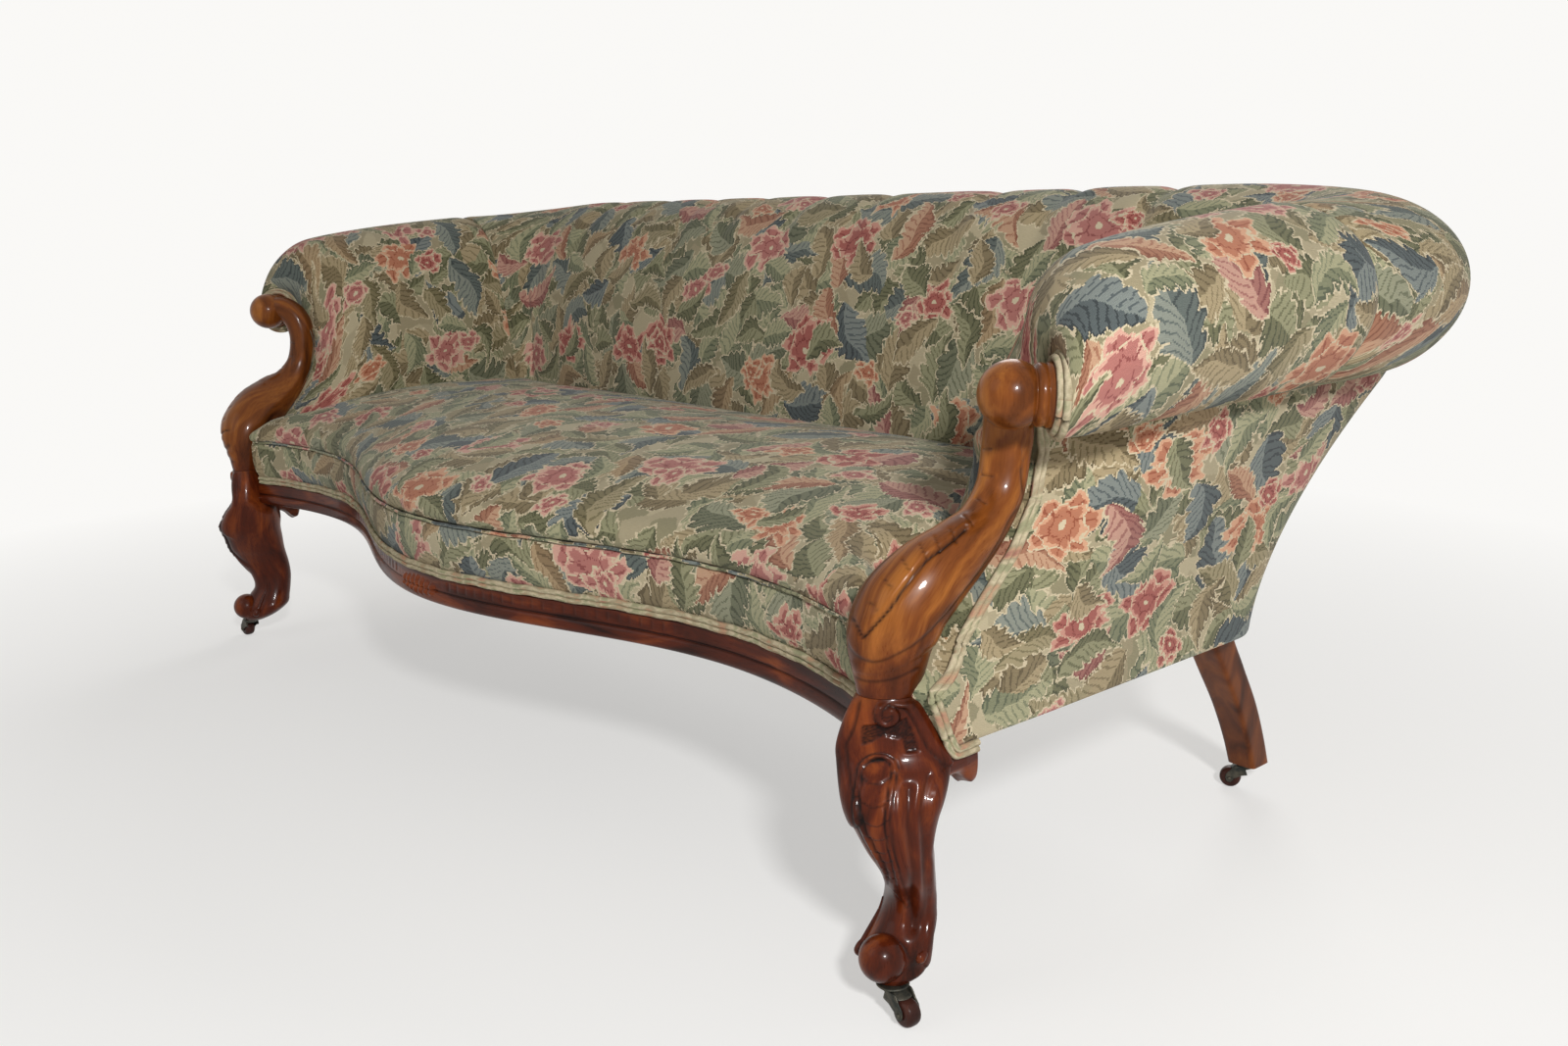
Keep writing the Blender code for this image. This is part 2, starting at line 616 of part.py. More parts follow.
def seat_suspension():
    front_inset = RAIL_DEPTH + 0.004
    rear = FRONT_Y + BACK_FRAME_FRONT + 0.020

    def cloth_section(x):
        y = serpentine(x) + front_inset
        top = FRAME_BOTTOM - WEB_THICKNESS - 2 * GAP
        return [(y, top - CLOTH_THICKNESS), (y, top), (rear, top), (rear, top - CLOTH_THICKNESS)]

    cloth_end = LEG_X - 0.050
    sweep_x("bottom_cloth", spaced(-cloth_end, cloth_end, 17), cloth_section, "black_cloth")

    web_columns = spaced(-CROSS_WEB_REACH, CROSS_WEB_REACH, CROSS_WEBS)
    web_rows = [FRONT_Y + y for y in spaced(SPRING_ROWS[0], SPRING_ROWS[-1], LONG_WEBS)]
    web_end = SIDE_FRAME_OUTER_X - 0.010
    web_front = FRONT_Y + RAIL_HOLLOW + front_inset
    webbing(web_columns, web_rows, web_end, web_front, rear)

    def hessian_section(x):
        y = serpentine(x) + RAIL_DEPTH + 0.002
        back = FRONT_Y + BACK_INNER_Y - 0.002
        low = FRAME_TOP + GAP
        return [(y, low), (y, low + HESSIAN_THICKNESS), (back, low + HESSIAN_THICKNESS), (back, low)]

    hessian_end = SEAT_HALF - 0.002
    sweep_x("seat_hessian", spaced(-hessian_end, hessian_end, 17), hessian_section, "hessian")


def coil(x, y, way, rising):
    """A waisted coil between the webbing and the hessian, entered and left on opposite sides."""
    low = FRAME_BOTTOM + SPRING_WIRE + GAP
    high = FRAME_TOP - SPRING_WIRE
    if not rising:
        low, high = high, low
    steps = round(SPRING_TURNS * SPRING_TURN_POINTS)
    path = []
    for i in range(steps + 1):
        t = i / steps
        radius = lerp(SPRING_WAIST, SPRING_RADIUS, (2.0 * t - 1.0) ** 2)
        angle = math.pi + math.tau * SPRING_TURNS * t
        across = way * radius * math.cos(angle)
        path.append(Vector((x + across, y + radius * math.sin(angle), lerp(low, high, t))))
    return path


def least_turn_gap(path):
    """Smallest clear distance between points of neighbouring turns."""
    half = SPRING_TURN_POINTS // 2
    distances = [(a - b).length for i, a in enumerate(path) for b in path[i + half:]]
    return min(distances) - 2 * SPRING_WIRE


def tube(name, path, radius, resolution, finish):
    curve = bpy.data.curves.new(name, "CURVE")
    curve.dimensions = "3D"
    curve.bevel_depth = radius
    curve.bevel_resolution = resolution
    curve.use_fill_caps = True
    spline = curve.splines.new("POLY")
    spline.points.add(len(path) - 1)
    for point, position in zip(spline.points, path):
        point.co = (*position, 1.0)
    curve.materials.append(MATERIALS[finish])
    made = bpy.data.objects.new(name, curve)
    SOFA.objects.link(made)
    return made


def seat_springs():
    """Rows of coils, each laced to the next by the same wire at the top or the foot."""
    columns = [(i - (SPRING_COLUMNS - 1) / 2.0) * SPRING_COLUMN_STEP for i in range(SPRING_COLUMNS)]
    path = []
    rising = True
    way = 1
    for row in SPRING_ROWS:
        for x in columns if way > 0 else reversed(columns):
            path += coil(x, FRONT_Y + row, way, rising)
            rising = not rising
        way = -way
    tube("seat_springs", path, SPRING_WIRE, 0, "spring_steel")
    print("least gap between spring turns, mm:", round(1000 * least_turn_gap(coil(0.0, 0.0, 1, True)), 2))


def seat_border():
    def section(x):
        y = serpentine(x)
        foot = RAIL_TOP + GAP
        top = SEAT_BOTTOM - GAP
        back = y + RAIL_DEPTH - SOFT_GAP
        clear = WELT_RADIUS + 0.0020
        over = foot + 2 * WELT_RADIUS + 0.001
        return [(y + clear, foot), (y + clear, over), (y - 0.003, over + 0.018), (y - 0.005, top - 0.016),
                (y + 0.001, top), (back, top), (back, foot)]

    end = SEAT_EAR_X
    sweep_x("seat_border", spaced(-end, end, RAIL_SECTIONS), section, "tapestry", 60)


def rail_welt():
    end = SEAT_EAR_X - 0.004
    z = RAIL_TOP + GAP + WELT_RADIUS
    path = [Vector((x, serpentine(x) + 0.0015, z)) for x in spaced(-end, end, RAIL_SECTIONS)]
    tube("rail_welt", path, WELT_RADIUS, 1, "piping")


def seat_pad():
    """Crowned seat: shares of its depth and of its crown from the front seam to the back."""
    shape = ((0.000, 0.10), (0.022, 0.34), (0.110, 0.64), (0.300, 0.88), (0.550, 1.0),
             (0.800, 0.98), (0.960, 0.86), (1.000, 0.72))

    def back_edge(x):
        """The seat's rear corners follow the round of the corner pads."""
        past = abs(x) - PIVOT_X
        if past <= 0.0:
            return BACK_INNER_Y - SOFT_GAP
        return PIVOT_Y + math.sqrt(max((SEAT_HALF - PIVOT_X) ** 2 - past ** 2, 0.0))

    def section(x):
        ear = abs(x) > SEAT_HALF
        front = serpentine(x) - SEAT_SEAM_LIP
        back = FRONT_Y + (SEAT_EAR_BACK if ear else back_edge(x))
        side_drop = 1.0 - 0.16 * min(abs(x) / SEAT_HALF, 1.0) ** 4
        height = SEAT_CROWN * side_drop * (0.72 if ear else 1.0)
        points = [(lerp(front, back, 0.022), SEAT_BOTTOM)]
        points += [(lerp(front, back, share), SEAT_BOTTOM + height * rise) for share, rise in shape]
        return points + [(back, SEAT_BOTTOM)]

    rounded = [lerp(PIVOT_X, SEAT_HALF, share) for share in (0.5, 0.85, 1.0)]
    middle = spaced(-PIVOT_X, PIVOT_X, 19)
    inner = [-x for x in reversed(rounded)] + middle + rounded
    step = SEAT_HALF + SOFT_GAP / 2
    ears = [step, lerp(step, SEAT_EAR_X, 0.6), SEAT_EAR_X]
    stations = [-x for x in reversed(ears)] + inner + ears
    sweep_x("seat_pad", stations, section, "tapestry", 60)


def roll_arc(middle, height, half_width, half_height, tuck_deg):
    """The roll from the inside face over its top to the tuck under it."""
    points = []
    for i in range(ROLL_POINTS + 1):
        angle = math.radians(lerp(ROLL_START_DEG, tuck_deg, i / ROLL_POINTS))
        points.append((middle + half_width * math.cos(angle), height + half_height * math.sin(angle)))
    return points


def pad_section(inner, waist, roll, tuck_deg, outer_rail, inner_rail, foot):
    """Section through an inside arm or back, from its foot over the roll and down inside."""
    under = TOP_RAIL_TOP + GAP
    points = [(inner, PAD_BOTTOM), (inner, SEAT_LINE_Z), (waist, WAIST_Z)]
    points += roll_arc(*roll, tuck_deg)
    points += [(outer_rail, under), (inner_rail, under), (inner_rail - 0.008, under - PAD_KNEE_DROP),
               (inner + foot, PAD_BOTTOM)]
    return points


def arm_section(share):
    """Section of an inside arm; its roll swells quickly behind the post's ball."""
    growth = share ** 0.25
    roll = [lerp(a, b, growth) for a, b in zip(ROLL_FRONT, ROLL_ARM)]
    return pad_section(ARM_INNER_X, ARM_WAIST_X, roll, ARM_TUCK_DEG, PAD_RAIL_OUTER_X,
                       PAD_RAIL_INNER_X, ARM_PAD_FOOT)


def back_section():
    """Section of the inside back, measured back from the leg line."""
    return pad_section(BACK_INNER_Y, BACK_WAIST_Y, ROLL_BACK, BACK_TUCK_DEG, PAD_RAIL_OUTER_Y,
                       PAD_RAIL_INNER_Y, BACK_PAD_FOOT)


def arm_pad(name, side):
    rings = []
    rear = FRONT_Y + ARM_REAR_Y - GAP
    for share in (0.0, 0.03, 0.10, 0.25, 0.50, 0.75, 1.0):
        rings.append([Vector((x, lerp(arm_front_y(z), rear, share), z)) for x, z in arm_section(share)])
    loft(name, flip(rings, side), "tapestry", 60)


def corner_pad(name, side):
    """The rear corner sweeps the arm's section into the back's."""
    rings = []
    arm = arm_section(1.0)
    back = back_section()
    for share in spaced(0.0, 1.0, CORNER_STEPS + 1):
        angle = share * math.pi / 2.0
        bulge = 1.0 + CORNER_BULGE * math.sin(2.0 * angle) ** 2
        ring = []
        for i, ((x, arm_z), (y, back_z)) in enumerate(zip(arm, back)):
            radius = lerp(x - PIVOT_X, y - PIVOT_Y, smooth(share))
            if i < len(arm) - PAD_RAIL_POINTS:
                radius *= bulge
            ring.append(Vector((PIVOT_X + radius * math.cos(angle),
                                FRONT_Y + PIVOT_Y + radius * math.sin(angle),
                                lerp(arm_z, back_z, smooth(share)))))
        rings.append(ring)
    loft(name, flip(rings, side), "tapestry", 60)


def back_pad():
    """Straight inside back, with tucks drawn over the top of its roll."""
    end = PIVOT_X - GAP
    outline = back_section()
    first = 3
    last = first + ROLL_POINTS
    steps = [(i / 2.0 - (PLEATS - 1) / 2.0) * PLEAT_SPACING for i in range(2 * PLEATS - 1)]
    stations = [-end] + steps + [end]

    def section(x):
        phase = x / PLEAT_SPACING + (PLEATS - 1) / 2.0
        inside = abs(x) < PLEAT_SPACING * PLEATS / 2.0
        dip = PLEAT_DEPTH * (0.5 + 0.5 * math.cos(math.tau * phase)) if inside else 0.0
        points = []
        for i, (y, z) in enumerate(outline):
            if first < i < last:
                towards = Vector((ROLL_BACK[0] - y, ROLL_BACK[1] - z)).normalized() * dip
                y += towards.x
                z += towards.y
            points.append((FRONT_Y + y, z))
        return points

    sweep_x("back_pad", stations, section, "tapestry", 60)


def panel_row(z, arm_columns):
    """Plan points of the outside surface at one height, front of the arm to the back's middle."""
    front = arm_front_y(z)
    radius = corner_radius(z)
    corner_x = side_x(z) - radius
    corner_y = back_y(z) - radius
    row = []
    for share in arm_columns:
        y = lerp(front, corner_y, share)
        swell = smooth((y - front) / PANEL_FRONT_BLEND)
        row.append(Vector((lerp(PANEL_EDGE_X, side_x(z), swell), y, z)))
    for i in range(1, CORNER_STEPS + 1):
        angle = math.pi / 2.0 * i / CORNER_STEPS
        row.append(Vector((corner_x + radius * math.cos(angle), corner_y + radius * math.sin(angle), z)))
    return row


def shell(name, rows, finish):
    """An open grid thickened inwards."""
    bm = bmesh.new()
    grid = [[bm.verts.new(point) for point in row] for row in rows]
    for lower, upper in zip(grid, grid[1:]):
        for i in range(len(lower) - 1):
            bm.faces.new((lower[i], lower[i + 1], upper[i + 1], upper[i]))
    mesh = bpy.data.meshes.new(name)
    bm.to_mesh(mesh)
    bm.free()
    made = place(name, mesh, finish, 60)
    solidify = made.modifiers.new("thickness", "SOLIDIFY")
    solidify.thickness = PANEL_THICKNESS
    solidify.offset = -1.0
    solidify.use_even_offset = True
    return made


def panel_heights():
    return spaced(PANEL_BOTTOM, PANEL_TOP, PANEL_ROWS)


def outside_panels():
    arm_columns = (0.0, 0.06, 0.14, 0.25, 0.40, 0.70, 1.0)
    rows = [panel_row(z, arm_columns) for z in panel_heights()]
    cut = len(arm_columns) + PANEL_SEAM_STEPS
    arm_rows = [row[:cut] for row in rows]
    shell("outside_arm_right", arm_rows, "tapestry")
    shell("outside_arm_left", [list(reversed(mirrored(row, -1))) for row in arm_rows], "tapestry")

    seam = SOFT_GAP + PANEL_THICKNESS * math.tan(math.pi / 2.0 / CORNER_STEPS)
    back_rows = []
    for row in rows:
        tail = row[cut - 1:]
        tail[0] = tail[0] + (tail[1] - tail[0]).normalized() * seam
        back_rows.append(tail + list(reversed(mirrored(tail, -1))))
    shell("outside_back", back_rows, "tapestry")


def arm_welt(name, side):
    """Piping down the front edge of an outside arm."""
    edge = [Vector((PANEL_EDGE_X, arm_front_y(z), z)) for z in panel_heights()]
    path = []
    for point, direction in zip(edge, tangents(edge)):
        ahead = Vector((0.0, -direction.z, direction.y)).normalized()
        path.append(point + ahead * (WELT_RADIUS + GAP))
    tube(name, mirrored(path, side), WELT_RADIUS, 1, "piping")


def cylinder_mesh(name, radius, length, sides, bevel=0.0):
    """A cylinder along its own Z with a flat, not a corner, on its -X side."""
    bm = bmesh.new()
    bmesh.ops.create_cone(bm, cap_ends=True, segments=sides, radius1=radius / math.cos(math.pi / sides),
                          radius2=radius / math.cos(math.pi / sides), depth=length,
                          matrix=Matrix.Rotation(math.pi / sides, 4, "Z"))
    if bevel:
        rims = [e for e in bm.edges if len({round(v.co.z, 6) for v in e.verts}) == 1]
        bmesh.ops.bevel(bm, geom=rims, offset=bevel, segments=1, affect="EDGES")
    return mesh_of(bm, name)


def cut_from(made, cutter_mesh, matrix):
    cutter = bpy.data.objects.new(made.name + "_cutter", cutter_mesh)
    cutter.matrix_world = matrix
    cutter.hide_render = True
    cutter.display_type = "WIRE"
    CUTTERS.objects.link(cutter)
    cut = made.modifiers.new("cut", "BOOLEAN")
    cut.operation = "DIFFERENCE"
    cut.object = cutter


def fork_mesh(name):
    """An inverted U over the wheel with a stem on top, swivel at the origin, trail along +X."""
    outer = WHEEL_WIDTH / 2 + WHEEL_SIDE_GAP + CHEEK
    inner = WHEEL_WIDTH / 2 + WHEEL_SIDE_GAP
    crown_top = FOOT_Z - PLATE_THICKNESS - 2 * GAP
    crown_bottom = crown_top - CROWN_HEIGHT
    tail = CASTOR_TRAIL + FORK_TAIL
    foot = WHEEL_RADIUS - FORK_TAIL
    profile = [(-outer, foot), (-inner, foot), (-inner, crown_bottom), (inner, crown_bottom),
               (inner, foot), (outer, foot), (outer, crown_top), (-outer, crown_top)]
    bm = bmesh.new()
    shear = CASTOR_TRAIL - FORK_FRONT
    rings = []
    for along in (-FORK_FRONT, tail):
        ring = []
        for across, z in profile:
            lean = shear * (crown_top - z) / (crown_top - foot) if along < 0 else 0.0
            ring.append(Vector((along + lean, across, z)))
        rings.append(ring)
    add_loft(bm, rings)
    return mesh_of(bm, name)


def castor(label, swivel, trail_deg):
    """Plate, swivelling fork, axle and wheel of one castor."""
    turn = Matrix.Translation((*swivel, 0.0)) @ Matrix.Rotation(math.radians(trail_deg), 4, "Z")
    across = Matrix.Rotation(math.pi / 2.0, 4, "X")
    axle_place = turn @ Matrix.Translation((CASTOR_TRAIL, 0.0, WHEEL_RADIUS)) @ across
    flat_down = Matrix.Rotation(math.pi / 2.0, 4, "Z")

    pivot = bpy.data.objects.new(f"castor_pivot_{label}", None)
    pivot.matrix_world = turn
    SOFA.objects.link(pivot)

    plate_z = FOOT_Z - GAP - PLATE_THICKNESS / 2
    plate = place(f"castor_plate_{label}",
                  cylinder_mesh("plate", PLATE_RADIUS, PLATE_THICKNESS, 16), "brass", 40)
    plate.matrix_world = Matrix.Translation((*swivel, plate_z))
    hole = cylinder_mesh("stem_hole", STEM_RADIUS + AXLE_CLEARANCE, 3 * PLATE_THICKNESS, 12)
    cut_from(plate, hole, plate.matrix_world)

    fork = place(f"castor_fork_{label}", fork_mesh("fork"), "brass", 40)
    fork.matrix_world = turn
    stem_low = FOOT_Z - PLATE_THICKNESS - CROWN_HEIGHT / 2
    stem_high = FOOT_Z - 2 * GAP
    stem = bpy.data.objects.new(f"castor_stem_{label}",
                                cylinder_mesh("stem", STEM_RADIUS, stem_high - stem_low, 12))
    stem.matrix_world = turn @ Matrix.Translation((0.0, 0.0, (stem_low + stem_high) / 2))
    stem.hide_render = True
    stem.display_type = "WIRE"
    CUTTERS.objects.link(stem)
    joined = fork.modifiers.new("stem", "BOOLEAN")
    joined.operation = "UNION"
    joined.object = stem
    bore = cylinder_mesh("axle_hole", AXLE_RADIUS + AXLE_CLEARANCE, 3 * WHEEL_WIDTH, 12)
    cut_from(fork, bore, axle_place)

    length = WHEEL_WIDTH + 2 * WHEEL_SIDE_GAP + 2 * CHEEK
    axle = place(f"castor_axle_{label}", cylinder_mesh("axle", AXLE_RADIUS, length, 12), "brass", 40)
    axle.matrix_world = axle_place

    wheel = place(f"castor_wheel_{label}",
                  cylinder_mesh("wheel", WHEEL_RADIUS, WHEEL_WIDTH, WHEEL_SIDES, WHEEL_BEVEL), "lignum", 40)
    wheel.matrix_world = axle_place @ flat_down
    cut_from(wheel, bore.copy(), axle_place)

    for piece in (fork, axle, wheel):
        world = piece.matrix_world.copy()
        piece.parent = pivot
        piece.matrix_parent_inverse = pivot.matrix_world.inverted()
        piece.matrix_world = world


def build():
    front_rail()
    seat_frame()
    back_frame()
    for side, label in ((-1, "left"), (1, "right")):
        front_leg(f"front_leg_{label}", side)
        leg_ear(f"leg_ear_{label}", side)
        arm_post(f"arm_post_{label}", side)
        rear_leg(f"rear_leg_{label}", side)
        arm_pad(f"arm_pad_{label}", side)
        corner_pad(f"corner_pad_{label}", side)
        arm_welt(f"arm_welt_{label}", side)
    seat_suspension()
    seat_springs()
    seat_border()
    rail_welt()
    seat_pad()
    back_pad()
    outside_panels()

    foot = front_leg_stations()[-1][0]
    rear = (REAR_FOOT_X, FRONT_Y + REAR_FOOT_Y)
    castor("front_right", (foot[0], foot[1]), FRONT_TRAIL_DEG)
    castor("front_left", (-foot[0], foot[1]), 180.0 - FRONT_TRAIL_DEG)
    castor("rear_right", rear, REAR_TRAIL_DEG)
    castor("rear_left", (-rear[0], rear[1]), 180.0 - REAR_TRAIL_DEG)
    bpy.context.view_layer.update()


build()
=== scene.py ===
"""Looks of a Victorian show-wood chesterfield sofa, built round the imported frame."""
import math

import bmesh
import bpy
import numpy as np
from mathutils import Matrix, Vector

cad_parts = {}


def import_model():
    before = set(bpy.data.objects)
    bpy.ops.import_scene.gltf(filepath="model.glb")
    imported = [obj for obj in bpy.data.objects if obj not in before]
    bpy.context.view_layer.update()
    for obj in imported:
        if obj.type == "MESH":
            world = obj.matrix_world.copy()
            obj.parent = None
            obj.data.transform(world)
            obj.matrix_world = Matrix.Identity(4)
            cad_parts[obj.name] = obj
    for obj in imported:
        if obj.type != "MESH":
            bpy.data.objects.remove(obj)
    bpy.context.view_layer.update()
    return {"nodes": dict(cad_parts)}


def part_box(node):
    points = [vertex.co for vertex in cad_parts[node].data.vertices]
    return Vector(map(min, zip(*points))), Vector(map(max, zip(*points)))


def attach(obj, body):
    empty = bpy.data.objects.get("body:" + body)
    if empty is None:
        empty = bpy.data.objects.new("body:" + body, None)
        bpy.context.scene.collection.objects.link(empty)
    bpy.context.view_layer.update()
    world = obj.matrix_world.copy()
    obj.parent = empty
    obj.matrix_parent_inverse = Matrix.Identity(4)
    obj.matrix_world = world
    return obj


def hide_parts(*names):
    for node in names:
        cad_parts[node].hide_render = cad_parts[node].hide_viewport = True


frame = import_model()
scene = bpy.context.scene

# Places and sizes taken from the frame, in metres
rail_low, rail_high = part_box("front_rail")
seat_low, seat_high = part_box("seat_pad")
corner_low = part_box("corner_pad_right")[0]
welt_low, welt_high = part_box("arm_welt_right")
BOW = 0.060
FRONT_Y = rail_low.y + BOW
LEG_X = rail_high.x + 0.038
RAIL_TOP = rail_high.z
FOOT_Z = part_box("rear_leg_right")[0].z
JOINT_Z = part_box("arm_post_right")[0].z
FRAME_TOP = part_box("seat_rail_back")[1].z
TOP_RAIL_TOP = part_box("back_top_rail")[1].z
PANEL_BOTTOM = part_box("outside_back")[0].z
PANEL_EDGE_X = (welt_low.x + welt_high.x) / 2.0
PAD_BOTTOM = corner_low.z
PIVOT_X = corner_low.x
ARM_REAR = corner_low.y
SEAT_BOTTOM = seat_low.z
SEAT_EAR_X = seat_high.x
SEAT_CROWN = seat_high.z - seat_low.z
WHEEL_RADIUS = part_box("castor_wheel_front_right")[1].z / 2.0

# Sizes of the looks, in metres; depths count from the front line
BOW_HALF = 0.540
RAIL_DEPTH = 0.030
SEAT_HALF = 0.7185
WAIST_Z = 0.550
PANEL_TOP = 0.5535
PIVOT_DEPTH = ARM_REAR - FRONT_Y
ROLL_FRONT = np.array((0.872, 0.604, 0.064, 0.061))
ROLL_ARM = np.array((0.885, 0.6485, 0.108, 0.097))
ROLL_BACK = np.array((0.735, 0.663, 0.125, 0.105))
CORNER_BULGE = 0.170
CORD_RADIUS = 0.0034
CREASE_DEPTH = 0.006
SIDES = (("right", 1.0), ("left", -1.0))

UP = np.array((0.0, 0.0, 1.0))
FACING = np.array((1.0, -1.0, 0.0)) / math.sqrt(2.0)
ASIDE = np.array((1.0, 1.0, 0.0)) / math.sqrt(2.0)
LEG = np.array((LEG_X, FRONT_Y + 0.010, 0.0))

# Front leg by level sections and arm post by square ones: out, aside, height, half width and half depth
LEG_STATIONS = np.array((
    (-0.005, 0.000, JOINT_Z - 0.0005, 0.027, 0.0215), (-0.0075, 0.000, 0.294, 0.0365, 0.0245),
    (-0.009, 0.003, 0.264, 0.048, 0.0275), (-0.008, 0.0065, 0.252, 0.0515, 0.033),
    (-0.0045, 0.0065, 0.2405, 0.051, 0.041), (-0.0005, 0.006, 0.221, 0.0485, 0.0485),
    (0.001, 0.005, 0.206, 0.044, 0.0495), (-0.001, 0.0075, 0.188, 0.038, 0.049),
    (-0.0025, 0.012, 0.1675, 0.032, 0.048), (-0.0045, 0.016, 0.156, 0.029, 0.0465),
    (-0.010, 0.0205, 0.138, 0.0255, 0.043), (-0.019, 0.023, 0.1145, 0.0245, 0.0345),
    (-0.0205, 0.021, 0.094, 0.026, 0.031), (-0.014, 0.016, 0.077, 0.029, 0.036),
    (-0.0105, 0.0115, 0.063, 0.032, 0.0375), (-0.005, 0.010, 0.051, 0.031, 0.0305),
    (0.003, 0.009, 0.0425, 0.027, 0.025), (0.010, 0.006, FOOT_Z, 0.0175, 0.017)))
POST_STATIONS = np.array((
    (-0.005, 0.000, JOINT_Z, 0.027, 0.0214), (-0.006, 0.002, 0.338, 0.034, 0.028),
    (-0.007, 0.004, 0.368, 0.0405, 0.037), (-0.009, 0.010, 0.384, 0.042, 0.041),
    (-0.014, 0.019, 0.398, 0.041, 0.042), (-0.023, 0.037, 0.416, 0.0375, 0.041),
    (-0.039, 0.062, 0.435, 0.0305, 0.036), (-0.058, 0.087, 0.457, 0.0245, 0.028),
    (-0.074, 0.105, 0.489, 0.0230, 0.022), (-0.081, 0.111, 0.530, 0.0230, 0.021),
    (-0.078, 0.112, 0.556, 0.0228, 0.0215), (-0.068, 0.112, 0.576, 0.0224, 0.0215),
    (-0.052, 0.111, 0.588, 0.0210, 0.0205), (-0.034, 0.110, 0.590, 0.0190, 0.0190)))


def at_leg(places):
    """Points from how far out, aside and up they lie from the foot of the right front leg."""
    return LEG + np.asarray(places) @ np.array((FACING, ASIDE, UP))


CAMERA_PLACE = np.array((1.642, -1.2203, 0.7427))
BALL_CENTRE = at_leg((-0.022, 0.110, 0.584))
BALL_RADIUS = 0.031
KNOB_AXIS = np.array((0.65, 0.76, -0.03))
KNOB_AXIS /= np.linalg.norm(KNOB_AXIS)
RING_CENTRE = BALL_CENTRE + KNOB_AXIS * 0.042
RING_RADIUS = 0.037
TOE_CENTRE = at_leg((0.020, -0.0035, 0.0605))
TOE_RADIUS = 0.0228


def lerp(a, b, t):
    return a + (b - a) * t


def smooth(t):
    """An eased step from 0 to 1."""
    t = np.clip(t, 0.0, 1.0)
    return t * t * (3.0 - 2.0 * t)


def dome(t):
    """A quarter circle's rise from 0 to 1."""
    return np.sqrt(1.0 - (1.0 - np.clip(t, 0.0, 1.0)) ** 2)


def bead(far, width):
    """A half circle's rise over a line, by the distance from it."""
    return np.sqrt(np.maximum(1.0 - (far / width) ** 2, 0.0))


def cut(far, width):
    """1 on a line, falling away on both sides."""
    return np.exp(-(far / width) ** 2)


def unit(vectors):
    return vectors / np.maximum(np.linalg.norm(vectors, axis=-1, keepdims=True), 1e-12)


def mirror(points, side):
    return points * np.array((side, 1.0, 1.0))


def lengths(path):
    """Distance along a path at each of its points."""
    return np.concatenate(([0.0], np.cumsum(np.linalg.norm(np.diff(path[:, :3], axis=0), axis=1))))


def even(path, count):
    """Evenly spaced rows on a path."""
    far = lengths(path)
    places = np.linspace(0.0, far[-1], count)
    return np.stack([np.interp(places, far, column) for column in path.T], axis=1)


def spline(points, count):
    """Evenly spaced rows on a smooth curve through the given rows."""
    points = np.asarray(points, float)
    steps = np.sqrt(np.linalg.norm(np.diff(points[:, :3], axis=0), axis=1))
    knots = np.concatenate(([0.0], np.cumsum(steps)))
    slopes = np.gradient(points, knots, axis=0)
    fine = np.linspace(0.0, knots[-1], 10 * count)
    i = np.clip(np.searchsorted(knots, fine, side="right") - 1, 0, len(knots) - 2)
    span = (knots[i + 1] - knots[i])[:, None]
    s = (fine - knots[i])[:, None] / span
    curve = ((2 * s ** 3 - 3 * s ** 2 + 1) * points[i] + (s ** 3 - 2 * s ** 2 + s) * span * slopes[i]
             + (3 * s ** 2 - 2 * s ** 3) * points[i + 1] + (s ** 3 - s ** 2) * span * slopes[i + 1])
    return even(curve, count)


def grid_points(x, y, z):
    """Points from three parts that broadcast together."""
    return np.stack(np.broadcast_arrays(x, y, z), axis=-1)


def circle(count):
    """Angles of evenly spaced points on a circle."""
    return np.linspace(0.0, 2.0 * np.pi, count, endpoint=False)


def squared(angle, power):
    """A circle swollen towards a square, as two parts of each point."""
    size = (np.abs(np.cos(angle)) ** power + np.abs(np.sin(angle)) ** power) ** (-1.0 / power)
    return np.cos(angle) * size, np.sin(angle) * size


def ring(axis, angle):
    """Points of a unit circle round an axis."""
    hint = UP if abs(axis[2]) < 0.9 else np.array((1.0, 0.0, 0.0))
    across = unit(np.cross(axis, hint))
    return np.outer(np.cos(angle), across) + np.outer(np.sin(angle), np.cross(across, axis))


def serpentine(x):
    """Front face of the show-wood rail in plan."""
    far = np.abs(x)
    bow = -BOW * np.cos(np.pi * far / BOW_HALF)
    end = BOW * (1.0 - ((far - BOW_HALF) / (LEG_X - BOW_HALF)) ** 2)
    return FRONT_Y + np.where(far <= BOW_HALF, bow, end)


POST_PATH = at_leg(POST_STATIONS[:, :3])


def post_back_table():
    """Rear edge of an arm post as heights and Y."""
    travel = unit(np.gradient(POST_PATH, axis=0))
    reach = np.sqrt((POST_STATIONS[:, 3] ** 2 + POST_STATIONS[:, 4] ** 2) / 2.0)
    behind = unit(grid_points(0.0, travel[:, 2], -travel[:, 1])) * reach[:, None]
    edge = (POST_PATH + behind)[:, 1:]
    edge = edge[np.argsort(edge[:, 1])]
    inside = (edge[:, 1] > JOINT_Z + 0.020) & (edge[:, 1] < WAIST_Z - 0.010)
    heights = np.concatenate(([PANEL_BOTTOM, JOINT_Z + 0.010], edge[inside, 1], [WAIST_Z]))
    ys = np.concatenate(([FRONT_Y + 0.052, FRONT_Y + 0.024], edge[inside, 0] + 0.006, [FRONT_Y + 0.168]))
    return heights, ys


FRONT_TABLE = post_back_table()


def arm_front_y(z):
    return np.interp(z, *FRONT_TABLE)


def post_x(z):
    return np.interp(z, POST_PATH[:-1, 2], POST_PATH[:-1, 0])


# Meshes


